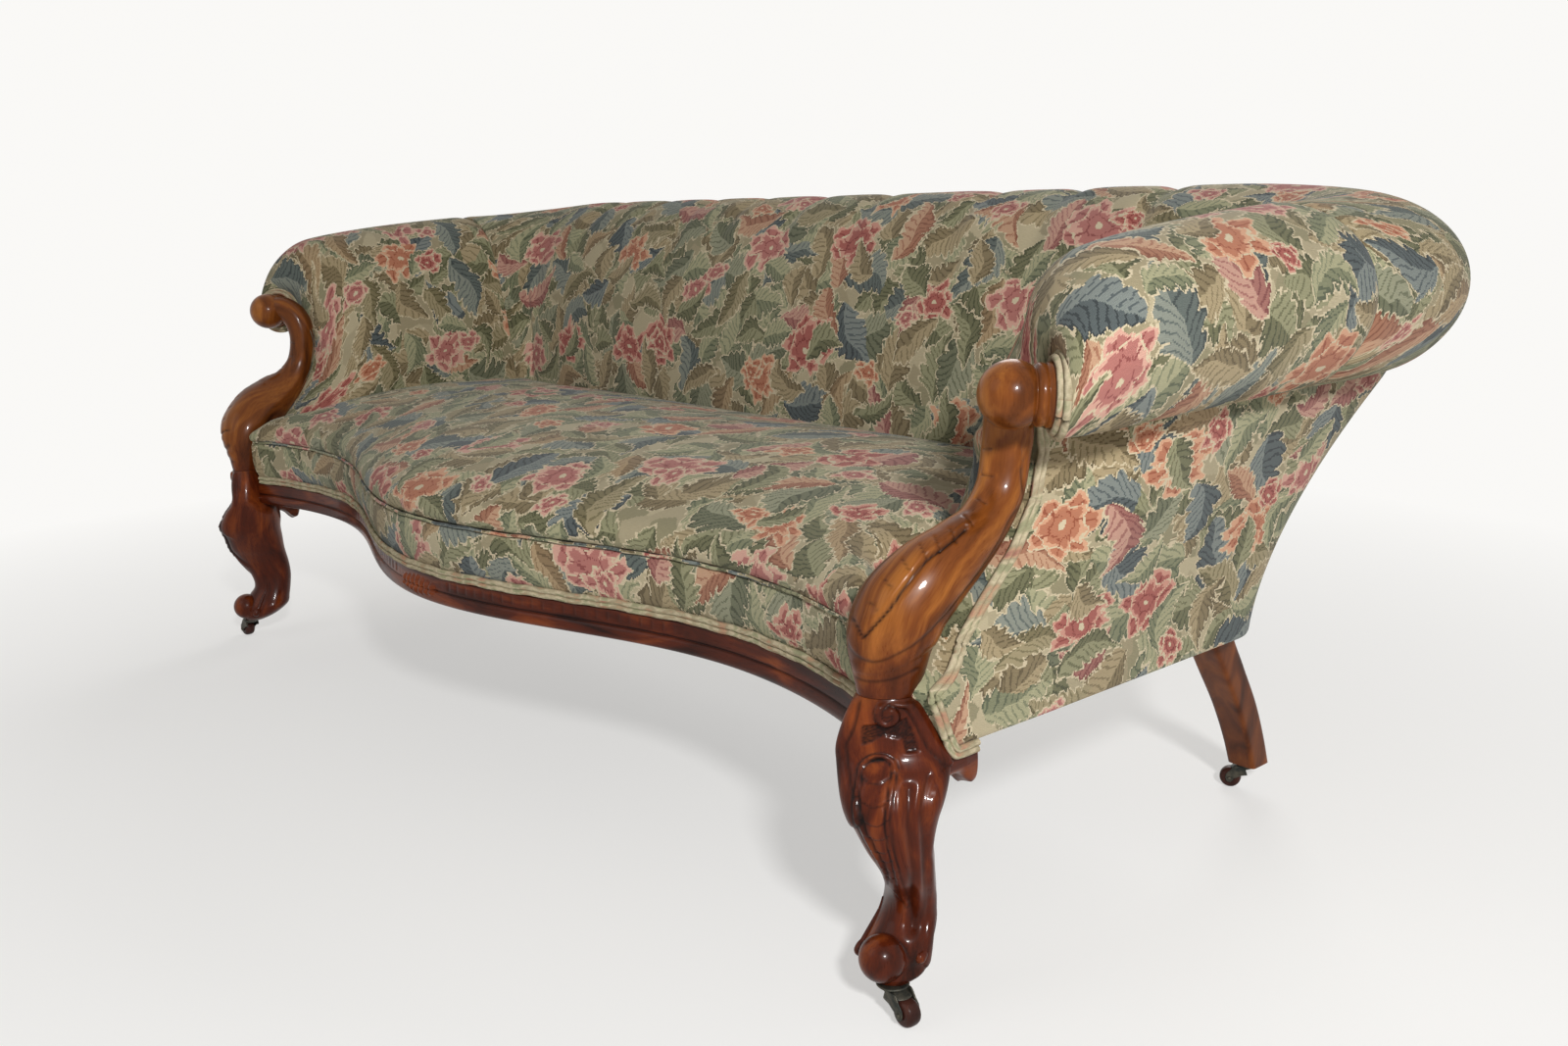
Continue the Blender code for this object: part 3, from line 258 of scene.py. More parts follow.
def new_object(name, mesh, material):
    """An object in the scene, smooth but for its flat ends."""
    mesh.materials.append(material)
    mesh.shade_smooth()
    ends = [face for face in mesh.polygons if face.loop_total > 4]
    if ends:
        rims = {key for face in ends for key in face.edge_keys}
        crease = mesh.attributes.new("crease_edge", "FLOAT", "EDGE")
        for edge in mesh.edges:
            if edge.key in rims:
                crease.data[edge.index].value = 1.0
                edge.use_edge_sharp = True
        for face in ends:
            face.use_smooth = False
    made = bpy.data.objects.new(name, mesh)
    scene.collection.objects.link(made)
    return made


def cover_uv(points, anchor_row=0, anchor_column=0, wrap=True):
    """Cloth lengths along and round a cover, measured from one row and one column."""
    if wrap:
        points = np.concatenate((points, points[:, :1]), axis=1)
    along = np.linalg.norm(np.diff(points, axis=0), axis=2)
    along = np.concatenate((np.zeros((1, points.shape[1])), np.cumsum(along, axis=0)))
    around = np.linalg.norm(np.diff(points, axis=1), axis=2)
    around = np.concatenate((np.zeros((points.shape[0], 1)), np.cumsum(around, axis=1)), axis=1)
    return np.stack((along - along[anchor_row], around - around[:, anchor_column:anchor_column + 1]), axis=-1)


def grid_mesh(name, points, uv=None, wrap=True, caps=(True, True), weld=False):
    """Quads over rows of points, with a UV for each corner; wrap closes every row."""
    if uv is None:
        uv = cover_uv(points, wrap=wrap)
    rows, columns = points.shape[:2]
    index = np.arange(rows * columns).reshape(rows, columns)
    if wrap:
        index = np.concatenate((index, index[:, :1]), axis=1)
    corners = np.stack((index[:-1, :-1], index[:-1, 1:], index[1:, 1:], index[1:, :-1]), axis=-1)
    corners = corners.reshape(-1, 4)
    corner_uv = np.stack((uv[:-1, :-1], uv[:-1, 1:], uv[1:, 1:], uv[1:, :-1]), axis=2).reshape(-1, 4, 2)
    flat = points.reshape(-1, 3)
    a, b, c, d = (flat[corners[:, k]] for k in range(4))
    volume = np.einsum("ij,ij->i", a, np.cross(b, c) + np.cross(c, d)).sum()
    if wrap and volume < 0.0:
        corners = corners[:, ::-1]
        corner_uv = corner_uv[:, ::-1]
    faces = corners.tolist()
    loop_uv = [corner_uv.reshape(-1, 2)]
    for end, wanted in zip((0, -1), caps):
        if wanted:
            rim = index[end, :columns]
            rim_uv = uv[end, :columns]
            turned_over = (end == 0) == (volume > 0.0)
            faces.append((rim[::-1] if turned_over else rim).tolist())
            loop_uv.append(rim_uv[::-1] if turned_over else rim_uv)
    mesh = bpy.data.meshes.new(name)
    mesh.from_pydata(flat.tolist(), [], faces)
    layer = mesh.uv_layers.new(name="UVMap")
    layer.data.foreach_set("uv", np.concatenate(loop_uv).astype(np.float32).ravel())
    if weld:
        bm = bmesh.new()
        bm.from_mesh(mesh)
        bmesh.ops.remove_doubles(bm, verts=bm.verts, dist=1e-5)
        bm.to_mesh(mesh)
        bm.free()
    return mesh


def joined(name, meshes):
    """One mesh from several, with their UVs and point attributes."""
    if len(meshes) == 1:
        return meshes[0]
    bm = bmesh.new()
    for mesh in meshes:
        bm.from_mesh(mesh)
        bpy.data.meshes.remove(mesh)
    whole = bpy.data.meshes.new(name)
    bm.to_mesh(whole)
    bm.free()
    return whole


def attribute(mesh, name, values):
    """Stores a number or a vector for each point of a mesh."""
    single = values.ndim == 1
    layer = mesh.attributes.new(name, "FLOAT" if single else "FLOAT_VECTOR", "POINT")
    layer.data.foreach_set("value" if single else "vector", values.astype(np.float32).ravel())


def wooden(name, points, grain, side=1.0, recess_shade=None):
    """Mesh of a wooden piece, with its grain and the painted shade in its recesses."""
    mesh = grid_mesh(name, mirror(points, side))
    attribute(mesh, "grain", grain.reshape(-1, 3))
    attribute(mesh, "recess_shade", np.zeros(len(mesh.vertices)) if recess_shade is None else recess_shade.ravel())
    return mesh


def slot_of(material):
    """A material's name without the number that Blender adds where the frame has one of that name."""
    return material.name.split(".")[0]


def dress(made, *nodes, slot=None, body="frame"):
    """Puts a piece on its body, in place of some nodes."""
    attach(made, body)
    slot or slot_of(made.active_material)
    if nodes:
        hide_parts(*nodes)


def wooden_piece(name, points, grain, material, *nodes, side=1.0, recess_shade=None, body="frame"):
    dress(new_object(name, wooden(name, points, grain, side, recess_shade), material), *nodes, body=body)


def tube_points(path, radius, sides):
    """Rings of a round cord along a path."""
    travel = unit(np.gradient(path, axis=0))
    hint = np.where(np.abs(travel[:, 2:3]) > 0.9, np.array((1.0, 0.0, 0.0)), UP)
    across = unit(np.cross(travel, hint))
    over = np.cross(across, travel)
    angle = circle(sides)
    rings = across[:, None] * np.cos(angle)[None, :, None] + over[:, None] * np.sin(angle)[None, :, None]
    return path[:, None] + rings * radius


def cord_piece(name, paths, radius, material, closed=False, sides=10):
    """Fabric-covered piping along one or more paths."""
    meshes = []
    for path in paths:
        if closed:
            path = np.concatenate((path, path[:1]))
        points = tube_points(path, radius, sides)
        if closed:
            points[-1] = points[0]
        meshes.append(grid_mesh(name, points, caps=(not closed, not closed), weld=closed))
    return new_object(name, joined(name, meshes), material)


# Node materials


class Number:
    """A number in a node tree; each operation on it adds one Math node."""

    def __init__(self, tree, socket):
        self.tree = tree
        self.socket = socket

    def calc(self, operation, *others, clamp=False):
        node = self.tree.nodes.new("ShaderNodeMath")
        node.operation = operation
        node.use_clamp = clamp
        for place, item in zip(node.inputs, (self, *others)):
            if isinstance(item, Number):
                self.tree.links.new(item.socket, place)
            else:
                place.default_value = item
        return Number(self.tree, node.outputs[0])

    def __add__(self, other):
        return self.calc("ADD", other)

    def __sub__(self, other):
        return self.calc("SUBTRACT", other)

    def __mul__(self, other):
        return self.calc("MULTIPLY", other)

    def __truediv__(self, other):
        return self.calc("DIVIDE", other)

    def __abs__(self):
        return self.calc("ABSOLUTE")

    __radd__ = __add__
    __rmul__ = __mul__

    def __rsub__(self, other):
        return (self * -1.0) + other

    def above(self, other):
        return self.calc("GREATER_THAN", other)

    def below(self, other):
        return self.calc("LESS_THAN", other)

    def fade(self, low, high):
        """0 at low, 1 at high, clamped."""
        scale = 1.0 / (high - low)
        return self.calc("MULTIPLY_ADD", scale, -low * scale, clamp=True)


class Tree:
    """Short ways to add nodes to a material."""

    def __init__(self, name):
        self.material = bpy.data.materials.new(name)
        self.material.use_nodes = True
        self.tree = self.material.node_tree
        self.shader = self.tree.nodes["Principled BSDF"]

    def add(self, kind, **settings):
        node = self.tree.nodes.new(kind)
        for key, value in settings.items():
            setattr(node, key, value)
        return node

    def number(self, socket):
        return Number(self.tree, socket)

    def put(self, target, value):
        """Links a number or socket, or sets a plain value."""
        if isinstance(value, (Number, bpy.types.NodeSocket)):
            self.tree.links.new(getattr(value, "socket", value), target)
        else:
            target.default_value = value

    def vector(self, operation, a, b=None, scale=None):
        node = self.add("ShaderNodeVectorMath", operation=operation)
        self.put(node.inputs[0], a)
        if b is not None:
            self.put(node.inputs[1], b)
        if scale is not None:
            self.put(node.inputs["Scale"], scale)
        return node.outputs[0]

    def split(self, socket):
        node = self.add("ShaderNodeSeparateXYZ")
        self.put(node.inputs[0], socket)
        return [self.number(out) for out in node.outputs]

    def join(self, x, y):
        node = self.add("ShaderNodeCombineXYZ")
        self.put(node.inputs[0], x)
        self.put(node.inputs[1], y)
        return node.outputs[0]

    def noise(self, place, scale, detail=2.0, rough=0.5, distortion=0.0, dimensions="3D"):
        node = self.add("ShaderNodeTexNoise", noise_dimensions=dimensions)
        settings = {"Vector": place, "Scale": scale, "Detail": detail, "Roughness": rough,
                    "Distortion": distortion}
        for name, value in settings.items():
            self.put(node.inputs[name], value)
        return node

    def grey(self, place, scale, **settings):
        """Noise as one number."""
        return self.number(self.noise(place, scale, **settings).outputs["Fac"])

    def mix(self, share, a, b):
        node = self.add("ShaderNodeMix", data_type="RGBA", blend_type="MIX")
        for place, value in zip((0, 6, 7), (share, a, b)):
            self.put(node.inputs[place], value)
        return node.outputs[2]

    def tint(self, colour, amount):
        """A colour made lighter or darker by a number."""
        return self.vector("SCALE", colour, scale=amount)

    def ramp(self, value, stops, steps=False):
        node = self.add("ShaderNodeValToRGB")
        node.color_ramp.interpolation = "CONSTANT" if steps else "LINEAR"
        self.put(node.inputs[0], value)
        bar = node.color_ramp.elements
        while len(bar) < len(stops):
            bar.new(0.5)
        for element, (place, colour) in zip(bar, stops):
            element.position = place
            element.color = colour
        return node.outputs[0]

    def pick(self, value, colours):
        """One of several colours by a number from 0 to 1."""
        return self.ramp(value, [(i / len(colours), c) for i, c in enumerate(colours)], steps=True)

    def tones(self, value, kinds):
        """Dark, middle and light tone of one of several kinds."""
        return [self.pick(value, tones) for tones in zip(*kinds)]

    def bump(self, height, strength, distance):
        node = self.add("ShaderNodeBump")
        for name, value in (("Strength", strength), ("Distance", distance), ("Height", height)):
            self.put(node.inputs[name], value)
        self.put(self.shader.inputs["Normal"], node.outputs[0])

    def set(self, **values):
        for name, value in values.items():
            self.put(self.shader.inputs[name.replace("_", " ")], value)
        return self.material


def paint(red, green, blue):
    """Screen colour from 0 to 255 as a linear colour."""
    parts = [part / 255.0 for part in (red, green, blue)]
    return (*(c / 12.92 if c <= 0.04045 else ((c + 0.055) / 1.055) ** 2.4 for c in parts), 1.0)


CREAM = paint(194, 180, 151)
GROUND_TONES = (paint(160, 149, 121), paint(172, 160, 131), paint(136, 129, 101), paint(149, 138, 110))
GREENS = ((paint(74, 75, 54), paint(104, 103, 76), paint(138, 136, 105)),
          (paint(86, 91, 71), paint(120, 122, 95), paint(156, 153, 121)),
          (paint(94, 82, 59), paint(125, 111, 83), paint(158, 142, 110)))
SLATES = ((paint(57, 62, 63), paint(82, 89, 89), paint(119, 125, 120)),
          (paint(75, 78, 60), paint(104, 106, 84), paint(139, 139, 115)),
          (paint(64, 70, 68), paint(91, 98, 93), paint(128, 132, 121)))
WARMS = ((paint(124, 79, 61), paint(151, 107, 84), paint(180, 144, 116)),
         (paint(104, 86, 62), paint(133, 111, 82), paint(164, 141, 108)),
         (paint(120, 71, 67), paint(148, 100, 91), paint(180, 140, 123)),
         (paint(87, 80, 56), paint(116, 107, 78), paint(149, 137, 106)))
BLOOMS = ((paint(122, 55, 51), paint(154, 88, 79), paint(190, 138, 121)),
          (paint(134, 75, 71), paint(165, 107, 99), paint(197, 153, 136)),
          (paint(140, 78, 57), paint(169, 111, 85), paint(197, 151, 121)))
WEFT = 1.9
WARP = 1.5


def cell_grid(t, place, shift, cell, randomness):
    """Shifted place, place within the nearest of scattered cells, and that cell's random numbers."""
    here = t.vector("ADD", place, (*shift, 0.0))
    cells = t.add("ShaderNodeTexVoronoi", voronoi_dimensions="2D", feature="F1")
    for name, value in (("Vector", here), ("Scale", 1.0 / cell), ("Randomness", randomness)):
        t.put(cells.inputs[name], value)
    x, y, _ = t.split(t.vector("SUBTRACT", here, cells.outputs["Position"]))
    return here, x, y, t.split(cells.outputs["Color"])


def leaf_layer(t, place, below, seed, cell, reach, width, kinds, lobe):
    """Curved serrated leaves, one to a cell, outlined in cream, laid over what is below."""
    _, x, y, (first, second, third) = cell_grid(t, place, (37.0 * seed, 91.0 * seed), cell, 0.85)
    turn = first * (2.0 * math.pi)
    cosine = turn.calc("COSINE")
    sine = turn.calc("SINE")
    along = x * cosine + y * sine
    half = reach * (0.75 + second * 0.5)
    share = along / half
    square = share * share
    across = y * cosine - x * sine - (square - 0.35) * half * (third - 0.5) * 1.4
    off = abs(across)
    wave = ((along + off * 0.7) / lobe).calc("FRACT") * 2.0 - 1.0
    edge = (1.0 - square).calc("MAXIMUM", 0.0) * (1.0 + share * 0.35) * (1.06 - wave * wave * 0.34) * width
    depth = edge - off
    outline = depth.above(-2.2) * abs(share).below(1.02)
    vein = ((along + off * 0.9) / 10.5).calc("FRACT").below(0.26)
    shade = across.above(0.0)
    dark, middle, light = t.tones((second * 7.0).calc("FRACT"), kinds)
    body = t.mix(shade, middle, light)
    body = t.mix(vein * off.above(1.6), body, t.mix(shade, dark, middle))
    body = t.mix(depth.below(2.4) * (1.0 - shade), body, dark)
    body = t.mix(off.below(1.0), body, light)
    return t.mix(depth.above(0.0), t.mix(outline, below, CREAM), body)


def flower_layer(t, place, below, seed, cell, reach, petals, kinds, share_shown):
    """Flowers of nested petals, one to a cell, laid over what is below."""
    here, x, y, (first, second, third) = cell_grid(t, place, (53.0 * seed, 29.0 * seed), cell, 0.7)
    y = y * (1.0 + second * 0.35)
    radius = (x * x + y * y).calc("SQRT")
    angle = y.calc("ARCTAN2", x) + first * 6.283
    uneven = t.grey(here, 0.035, detail=1.0, dimensions="2D")
    size = (0.45 + second * 0.4 + uneven * 0.7) * reach
    shown = third.below(share_shown)

    def row(scale, phase, lobe):
        wave = abs((angle * (petals / 2.0) + phase).calc("COSINE"))
        ripple = (angle * (petals * 3.0) + phase).calc("SINE") * 0.045
        return size * scale * (1.0 - lobe + wave * lobe + ripple) - radius, wave

    outer, outer_wave = row(1.0, 0.0, 0.30)
    inner, inner_wave = row(0.66, math.pi / 2.0, 0.26)
    heart, _ = row(0.30, 0.0, 0.15)
    dark, middle, light = t.tones((third * 5.0).calc("FRACT"), kinds)
    streak = ((angle * (petals * 0.5)).calc("FRACT")).below(0.22)
    flower = t.mix(outer.below(size * 0.13), middle, light)
    flower = t.mix(streak * outer.above(size * 0.16), flower, dark)
    flower = t.mix(outer_wave.below(0.12), flower, CREAM)
    flower = t.mix(inner.above(-1.9), flower, CREAM)
    flower = t.mix(inner.above(0.0), flower, t.mix(inner.below(size * 0.12), middle, light))
    flower = t.mix(inner.above(0.0) * inner_wave.below(0.14), flower, dark)
    flower = t.mix(heart.above(-1.6), flower, dark)
    flower = t.mix(heart.above(0.0), flower, middle)
    flower = t.mix((size * 0.10 - radius).above(0.0), flower, CREAM)
    below = t.mix(outer.above(-2.2) * shown, below, CREAM)
    return t.mix(outer.above(0.0) * shown, below, flower)


# Layers from the lowest up: seed, cell, reach, width or petals, tones, and lobe or share shown
LAYERS = ((leaf_layer, 1.0, 64.0, 42.0, 22.0, GREENS, 12.0),
          (leaf_layer, 2.0, 76.0, 50.0, 27.0, GREENS[::-1], 17.0),
          (leaf_layer, 3.0, 112.0, 54.0, 31.0, SLATES, 20.0),
          (leaf_layer, 4.0, 134.0, 52.0, 22.0, WARMS, 13.0),
          (flower_layer, 5.0, 172.0, 47.0, 6.0, BLOOMS, 0.85),
          (leaf_layer, 8.0, 118.0, 42.0, 19.0, GREENS, 12.0),
          (flower_layer, 6.0, 150.0, 25.0, 5.0, BLOOMS[::-1], 0.55))


def tapestry_material():
    """Verdure tapestry: leaves and flowers woven in steps, with a ribbed face; lengths are in millimetres."""
    t = Tree("tapestry")
    coordinates = t.add("ShaderNodeUVMap", uv_map="UVMap").outputs[0]
    u, v, _ = t.split(coordinates)
    u = u * 1000.0
    v = v * 1000.0
    woven = t.join((u / WARP).calc("FLOOR") * WARP, (v / WEFT).calc("FLOOR") * WEFT)
    place = woven
    for scale, reach in ((0.016, 34.0), (0.11, 4.5)):
        wander = t.noise(woven, scale, detail=1.0, dimensions="2D").outputs["Color"]
        wander = t.vector("SUBTRACT", wander, (0.5, 0.5, 0.5))
        place = t.vector("ADD", place, t.vector("SCALE", wander, scale=reach))
    colour = t.pick(cell_grid(t, place, (0.0, 0.0), 34.0, 1.0)[3][0], GROUND_TONES)
    for layer, *choices in LAYERS:
        colour = layer(t, place, colour, *choices)
    thread = t.grey(t.join(u * 0.18, v * 1.1), 1.0, dimensions="2D")
    soil = t.grey(coordinates, 5.0, detail=3.0)
    tone = 0.80 + thread * 0.26 + soil * 0.14
    rib = (v * (2.0 * math.pi / WEFT)).calc("SINE") * 0.5 + (u * (2.0 * math.pi / WARP)).calc("SINE") * 0.25
    t.bump(rib + thread, 0.35, 0.0005)
    return t.set(Base_Color=t.tint(colour, tone), Roughness=0.92, Specular_IOR_Level=0.08,
                 Sheen_Weight=0.10, Sheen_Roughness=0.6)


def piping_material():
    """The same cloth cut into narrow strips: pale, with short runs of colour along the cord."""
    t = Tree("piping")
    u, v, _ = t.split(t.add("ShaderNodeUVMap", uv_map="UVMap").outputs[0])
    run = t.grey(t.join(u * 38.0, v * 60.0), 1.0, dimensions="2D")
    thread = t.grey(t.join(u * 900.0, v * 260.0), 1.0, dimensions="2D")
    colour = t.ramp(run, [(0.0, GREENS[1][1]), (0.36, GREENS[1][2]), (0.46, CREAM), (0.58, GROUND_TONES[0]),
                          (0.70, WARMS[0][2]), (0.84, WARMS[2][1])])
    t.bump(thread, 0.4, 0.0006)
    return t.set(Base_Color=t.tint(colour, 0.72 + thread * 0.36), Roughness=0.92, Specular_IOR_Level=0.08)


def wood_material(name, tones, gloss, coat, upper_tones=None, carved_grain=True):
    """Figured wood under polish; carved pieces carry their own grain and painted shade in their recesses."""
    t = Tree(name)
    place = t.add("ShaderNodeTexCoord").outputs["Object"]
    grain = place
    stretch = np.array((0.0, 1.0, 1.0))
    if carved_grain:
        grain = t.add("ShaderNodeAttribute", attribute_name="grain").outputs["Vector"]
        stretch = stretch[::-1]
    along = 1.0 - stretch
    fibre_place = t.vector("MULTIPLY", grain, tuple(stretch + 0.10 * along))
    figure_place = t.vector("MULTIPLY", grain, tuple(stretch + 0.24 * along))
    fibre = t.grey(fibre_place, 520.0, detail=3.0, rough=0.55)
    figure = t.grey(figure_place, 30.0, detail=3.0, distortion=0.9)
    mixed = figure * 0.86 + fibre * 0.14
    colour = t.ramp(mixed, list(zip((0.30, 0.50, 0.72), tones)))
    # Lighter, more golden tones above 0.30 to 0.40 m, blended in by height
    if upper_tones:
        upper_colour = t.ramp(mixed, list(zip((0.28, 0.50, 0.74), upper_tones)))
        colour = t.mix(t.split(place)[2].fade(0.30, 0.40), colour, upper_colour)
    rough = gloss + fibre * 0.10
    if carved_grain:
        recess_shade = t.number(t.add("ShaderNodeAttribute", attribute_name="recess_shade").outputs["Fac"])
        # Painted shade: recesses are darkened towards a sixth of the darkest tone
        colour = t.mix(recess_shade.fade(0.0, 1.0), colour, (*(c * 0.16 for c in tones[0][:3]), 1.0))
        rough = rough + recess_shade.fade(0.0, 1.0) * 0.35
    t.bump(fibre, 0.06, 0.0003)
    return t.set(Base_Color=colour, Roughness=rough, Specular_IOR_Level=0.09,
                 Coat_Weight=coat, Coat_Roughness=0.06)


def metal_material(name, base, dull, rough):
    """Old metal with dull patches and fine scratches."""
    t = Tree(name)
    place = t.add("ShaderNodeTexCoord").outputs["Object"]
    patch = t.grey(place, 90.0, detail=4.0, rough=0.65)
    fine = t.grey(place, 900.0)
    t.bump(fine + patch, 0.20, 0.0004)
    return t.set(Base_Color=t.mix(patch.fade(0.38, 0.62), base, dull), Roughness=rough + patch * 0.25,
                 Metallic=0.85)


def cloth_material(name, base, dark, pitch):
    """Plain weave by object coordinates, in threads of one pitch."""
    t = Tree(name)
    place = t.add("ShaderNodeTexCoord").outputs["Object"]
    x, y, _ = t.split(place)
    over = (x * (math.pi / pitch)).calc("SINE") * (y * (math.pi / pitch)).calc("SINE")
    slub = t.grey(place, 240.0, detail=3.0)
    t.bump(over + slub, 0.4, 0.0006)
    return t.set(Base_Color=t.mix((over * 0.5 + slub).fade(0.1, 0.9), dark, base), Roughness=0.95,
                 Specular_IOR_Level=0.15)


TAPESTRY = tapestry_material()
PIPING = piping_material()
WALNUT = wood_material("walnut", (paint(34, 10, 4), paint(78, 29, 11), paint(130, 62, 23)), 0.24, 0.14,
                       upper_tones=(paint(48, 21, 7), paint(112, 60, 22), paint(172, 108, 46)))
STAINED = wood_material("stained_wood", (paint(48, 22, 9), paint(92, 46, 19), paint(128, 70, 30)), 0.34, 0.08)
LIGNUM = wood_material("lignum", (paint(34, 18, 14), paint(58, 32, 26), paint(84, 50, 40)), 0.30, 0.1)
BEECH = wood_material("beech", (paint(150, 112, 78), paint(186, 148, 108), paint(208, 174, 134)), 0.60, 0.0,
                      carved_grain=False)
BRASS = metal_material("brass", paint(84, 80, 70), paint(46, 49, 46), 0.40)
STEEL = metal_material("spring_steel", paint(120, 116, 110), paint(84, 66, 52), 0.42)
JUTE = cloth_material("jute", paint(168, 138, 98), paint(112, 88, 58), 0.0030)
HESSIAN = cloth_material("hessian", paint(158, 130, 92), paint(96, 74, 48), 0.0022)
BLACK_CLOTH = cloth_material("black_cloth", paint(48, 47, 48), paint(26, 26, 28), 0.0014)


# Cloth


def settle(made, pinned, pressure, cap, frames=16):
    """Lets the cloth of a cover puff between its pinned points, within a limit."""
    mesh = made.data
    start = np.empty(len(mesh.vertices) * 3)
    end = np.empty(len(start))
    mesh.vertices.foreach_get("co", start)
    group = made.vertex_groups.new(name="pinned")
    group.add(np.nonzero(pinned.ravel())[0].tolist(), 1.0, "REPLACE")
    cloth = made.modifiers.new("cloth", "CLOTH")
    cloth.settings.quality = 5
    cloth.settings.mass = 0.4
    cloth.settings.tension_stiffness = 18.0
    cloth.settings.compression_stiffness = 14.0
    cloth.settings.shear_stiffness = 6.0
    cloth.settings.bending_stiffness = 1.2
    cloth.settings.vertex_group_mass = "pinned"
    cloth.settings.use_pressure = True
    cloth.settings.uniform_pressure_force = pressure
    cloth.settings.effector_weights.gravity = 0.0
    cloth.collision_settings.use_collision = False
    cloth.point_cache.frame_start = 1
    cloth.point_cache.frame_end = frames
    for number in range(1, frames + 1):
        scene.frame_set(number)
    done = made.evaluated_get(bpy.context.evaluated_depsgraph_get()).data
    done.vertices.foreach_get("co", end)
    move = (end - start).reshape(-1, 3)
    far = np.linalg.norm(move, axis=1, keepdims=True)
    move *= np.minimum(1.0, cap / np.maximum(far, 1e-9))
    made.modifiers.remove(cloth)
    made.vertex_groups.remove(group)
    mesh.vertices.foreach_set("co", start + move.ravel())
    mesh.update()
    scene.frame_set(1)


def pins(points, ends, first, last):
    """Which points stay put: rows at both ends, and the columns outside first to last."""
    pinned = np.ones(points.shape[:2], bool)
    pinned[ends:-ends, first:last] = False
    return pinned


def cover(name, points, uv, pinned, *nodes, pressure, cap, fill, caps=(True, True)):
    """A padded piece of tapestry: its cloth puffs, then it is smoothed."""
    made = new_object(name, grid_mesh(name, points, uv, caps=caps), TAPESTRY)
    settle(made, pinned, pressure, cap)
    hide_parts(*nodes)
    smoother = made.modifiers.new("smooth", "SUBSURF")
    smoother.levels = 1
    smoother.render_levels = 1
    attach(made, "frame")


# Inside arms: sections go from the foot over the roll to the tuck, then back where they are hidden

ARM_SECTION = 64
BACK_SECTION = 62
HIDDEN = 7
ARM_ROWS = 52
ARM_TUCK = -84.0
BACK_TUCK = -72.0
ARM_FOOT = ((0.719, PAD_BOTTOM), (0.719, 0.405), (0.721, 0.440), (0.742, WAIST_Z))
ARM_INSIDE = ((0.890, 0.556), (0.850, 0.556), (0.7945, 0.556), (0.788, 0.520), (0.779, PAD_BOTTOM),
              (0.722, PAD_BOTTOM))
BACK_FOOT = ((0.550, PAD_BOTTOM), (0.550, 0.405), (0.552, 0.440), (0.572, WAIST_Z))
BACK_INSIDE = ((0.765, 0.566), (0.735, 0.556), (0.660, 0.556), (0.652, 0.520), (0.577, PAD_BOTTOM),
               (0.553, PAD_BOTTOM))
ROLL_HANG = 0.004
FRONT_HANG = 0.012
CLEAR = 0.001
GATHER_DEPTH = 0.0016
ARM_UV = 0.9


def section(foot, roll, tuck, hang, inside, count):
    """One section of a pad; the roll hangs a little at its lower outer side."""
    angle = np.radians(np.linspace(165.0, tuck, 19))
    sag = hang * cut(angle + 1.1, 0.42) * smooth((angle - angle[-1]) / 0.45)
    over = np.stack((roll[0] + roll[2] * np.cos(angle), roll[1] + roll[3] * np.sin(angle) - sag), axis=1)
    return np.concatenate((spline(np.concatenate((foot, over)), count), even(np.array(inside), HIDDEN)))


def arm_section(share, count):
    """Section of an arm, from its front at 0 to its rear at 1."""
    roll = lerp(ROLL_FRONT, ROLL_ARM, share ** 0.33)
    return section(ARM_FOOT, roll, ARM_TUCK, lerp(FRONT_HANG, ROLL_HANG, share), ARM_INSIDE, count)


def arm_cover(label, side):
    heights = arm_section(1.0, ARM_SECTION)[:ARM_SECTION, 1]
    waist = int(np.argmax(heights > WAIST_Z))
    # Front edge: up the back of the post, then round the ring behind the ball
    lift = (heights[:waist] - PAD_BOTTOM) / (WAIST_Z - PAD_BOTTOM)
    edge_z = PAD_BOTTOM + lift * (RING_CENTRE[2] - 0.016 - PAD_BOTTOM)
    edge = grid_points(post_x(edge_z) - 0.012, arm_front_y(edge_z) - 0.010, edge_z)
    angle = np.radians(np.linspace(205.0, ARM_TUCK, ARM_SECTION - waist))
    rim = RING_CENTRE + RING_RADIUS * ring(KNOB_AXIS, angle)
    # The hidden way back stays clear of the edge, because edges of no length stop the cloth solver
    back = edge[np.linspace(waist - 1, 0, HIDDEN).astype(int)] + (CLEAR, CLEAR, 0.0)
    front = np.concatenate((edge, rim, back))
    folds = np.zeros(len(front))
    folds[waist:ARM_SECTION] = np.sin(np.linspace(0.0, 24.0 * np.pi, ARM_SECTION - waist))
    depth = np.full(len(front), 0.075)
    depth[waist:ARM_SECTION] = lerp(0.083, 0.073, np.abs(np.cos(angle)))
    creased = smooth((np.arange(len(front)) - waist - 8.0) / 14.0) * (np.arange(len(front)) < ARM_SECTION)
    rows = []
    for share in np.linspace(0.0, 1.0, ARM_ROWS) ** 1.7:
        y = lerp(front[:, 1], ARM_REAR - 0.0006, share)
        behind = y - front[:, 1]
        grown = dome(behind / depth)[:, None]
        flat = lerp(front[:, [0, 2]], arm_section(share, ARM_SECTION), grown)
        away = unit(flat - lerp(RING_CENTRE[[0, 2]], ROLL_ARM[:2], grown))
        gather = GATHER_DEPTH * folds * np.exp(-behind / 0.022) * np.clip(behind / 0.006, 0.0, 1.0)
        crease = -CREASE_DEPTH * cut(ARM_REAR - y, 0.009) * creased
        flat = flat + away * (gather + crease)[:, None]
        rows.append(grid_points(flat[:, 0], y, flat[:, 1]))
    points = mirror(np.array(rows), side)
    anchor = waist + int(0.66 * (ARM_SECTION - waist))
    uv = cover_uv(points, -1, anchor)
    uv[..., 0] = lerp(uv[..., 0], uv[:, anchor:anchor + 1, 0], 0.5) + ARM_UV * side
    cover(f"inside_arm_{label}", points, uv, pins(points, 2, 3, ARM_SECTION - 2), f"arm_pad_{label}",
          pressure=4.0, cap=0.003, fill=0.85, caps=(False, True))


# Inside back and rear corners

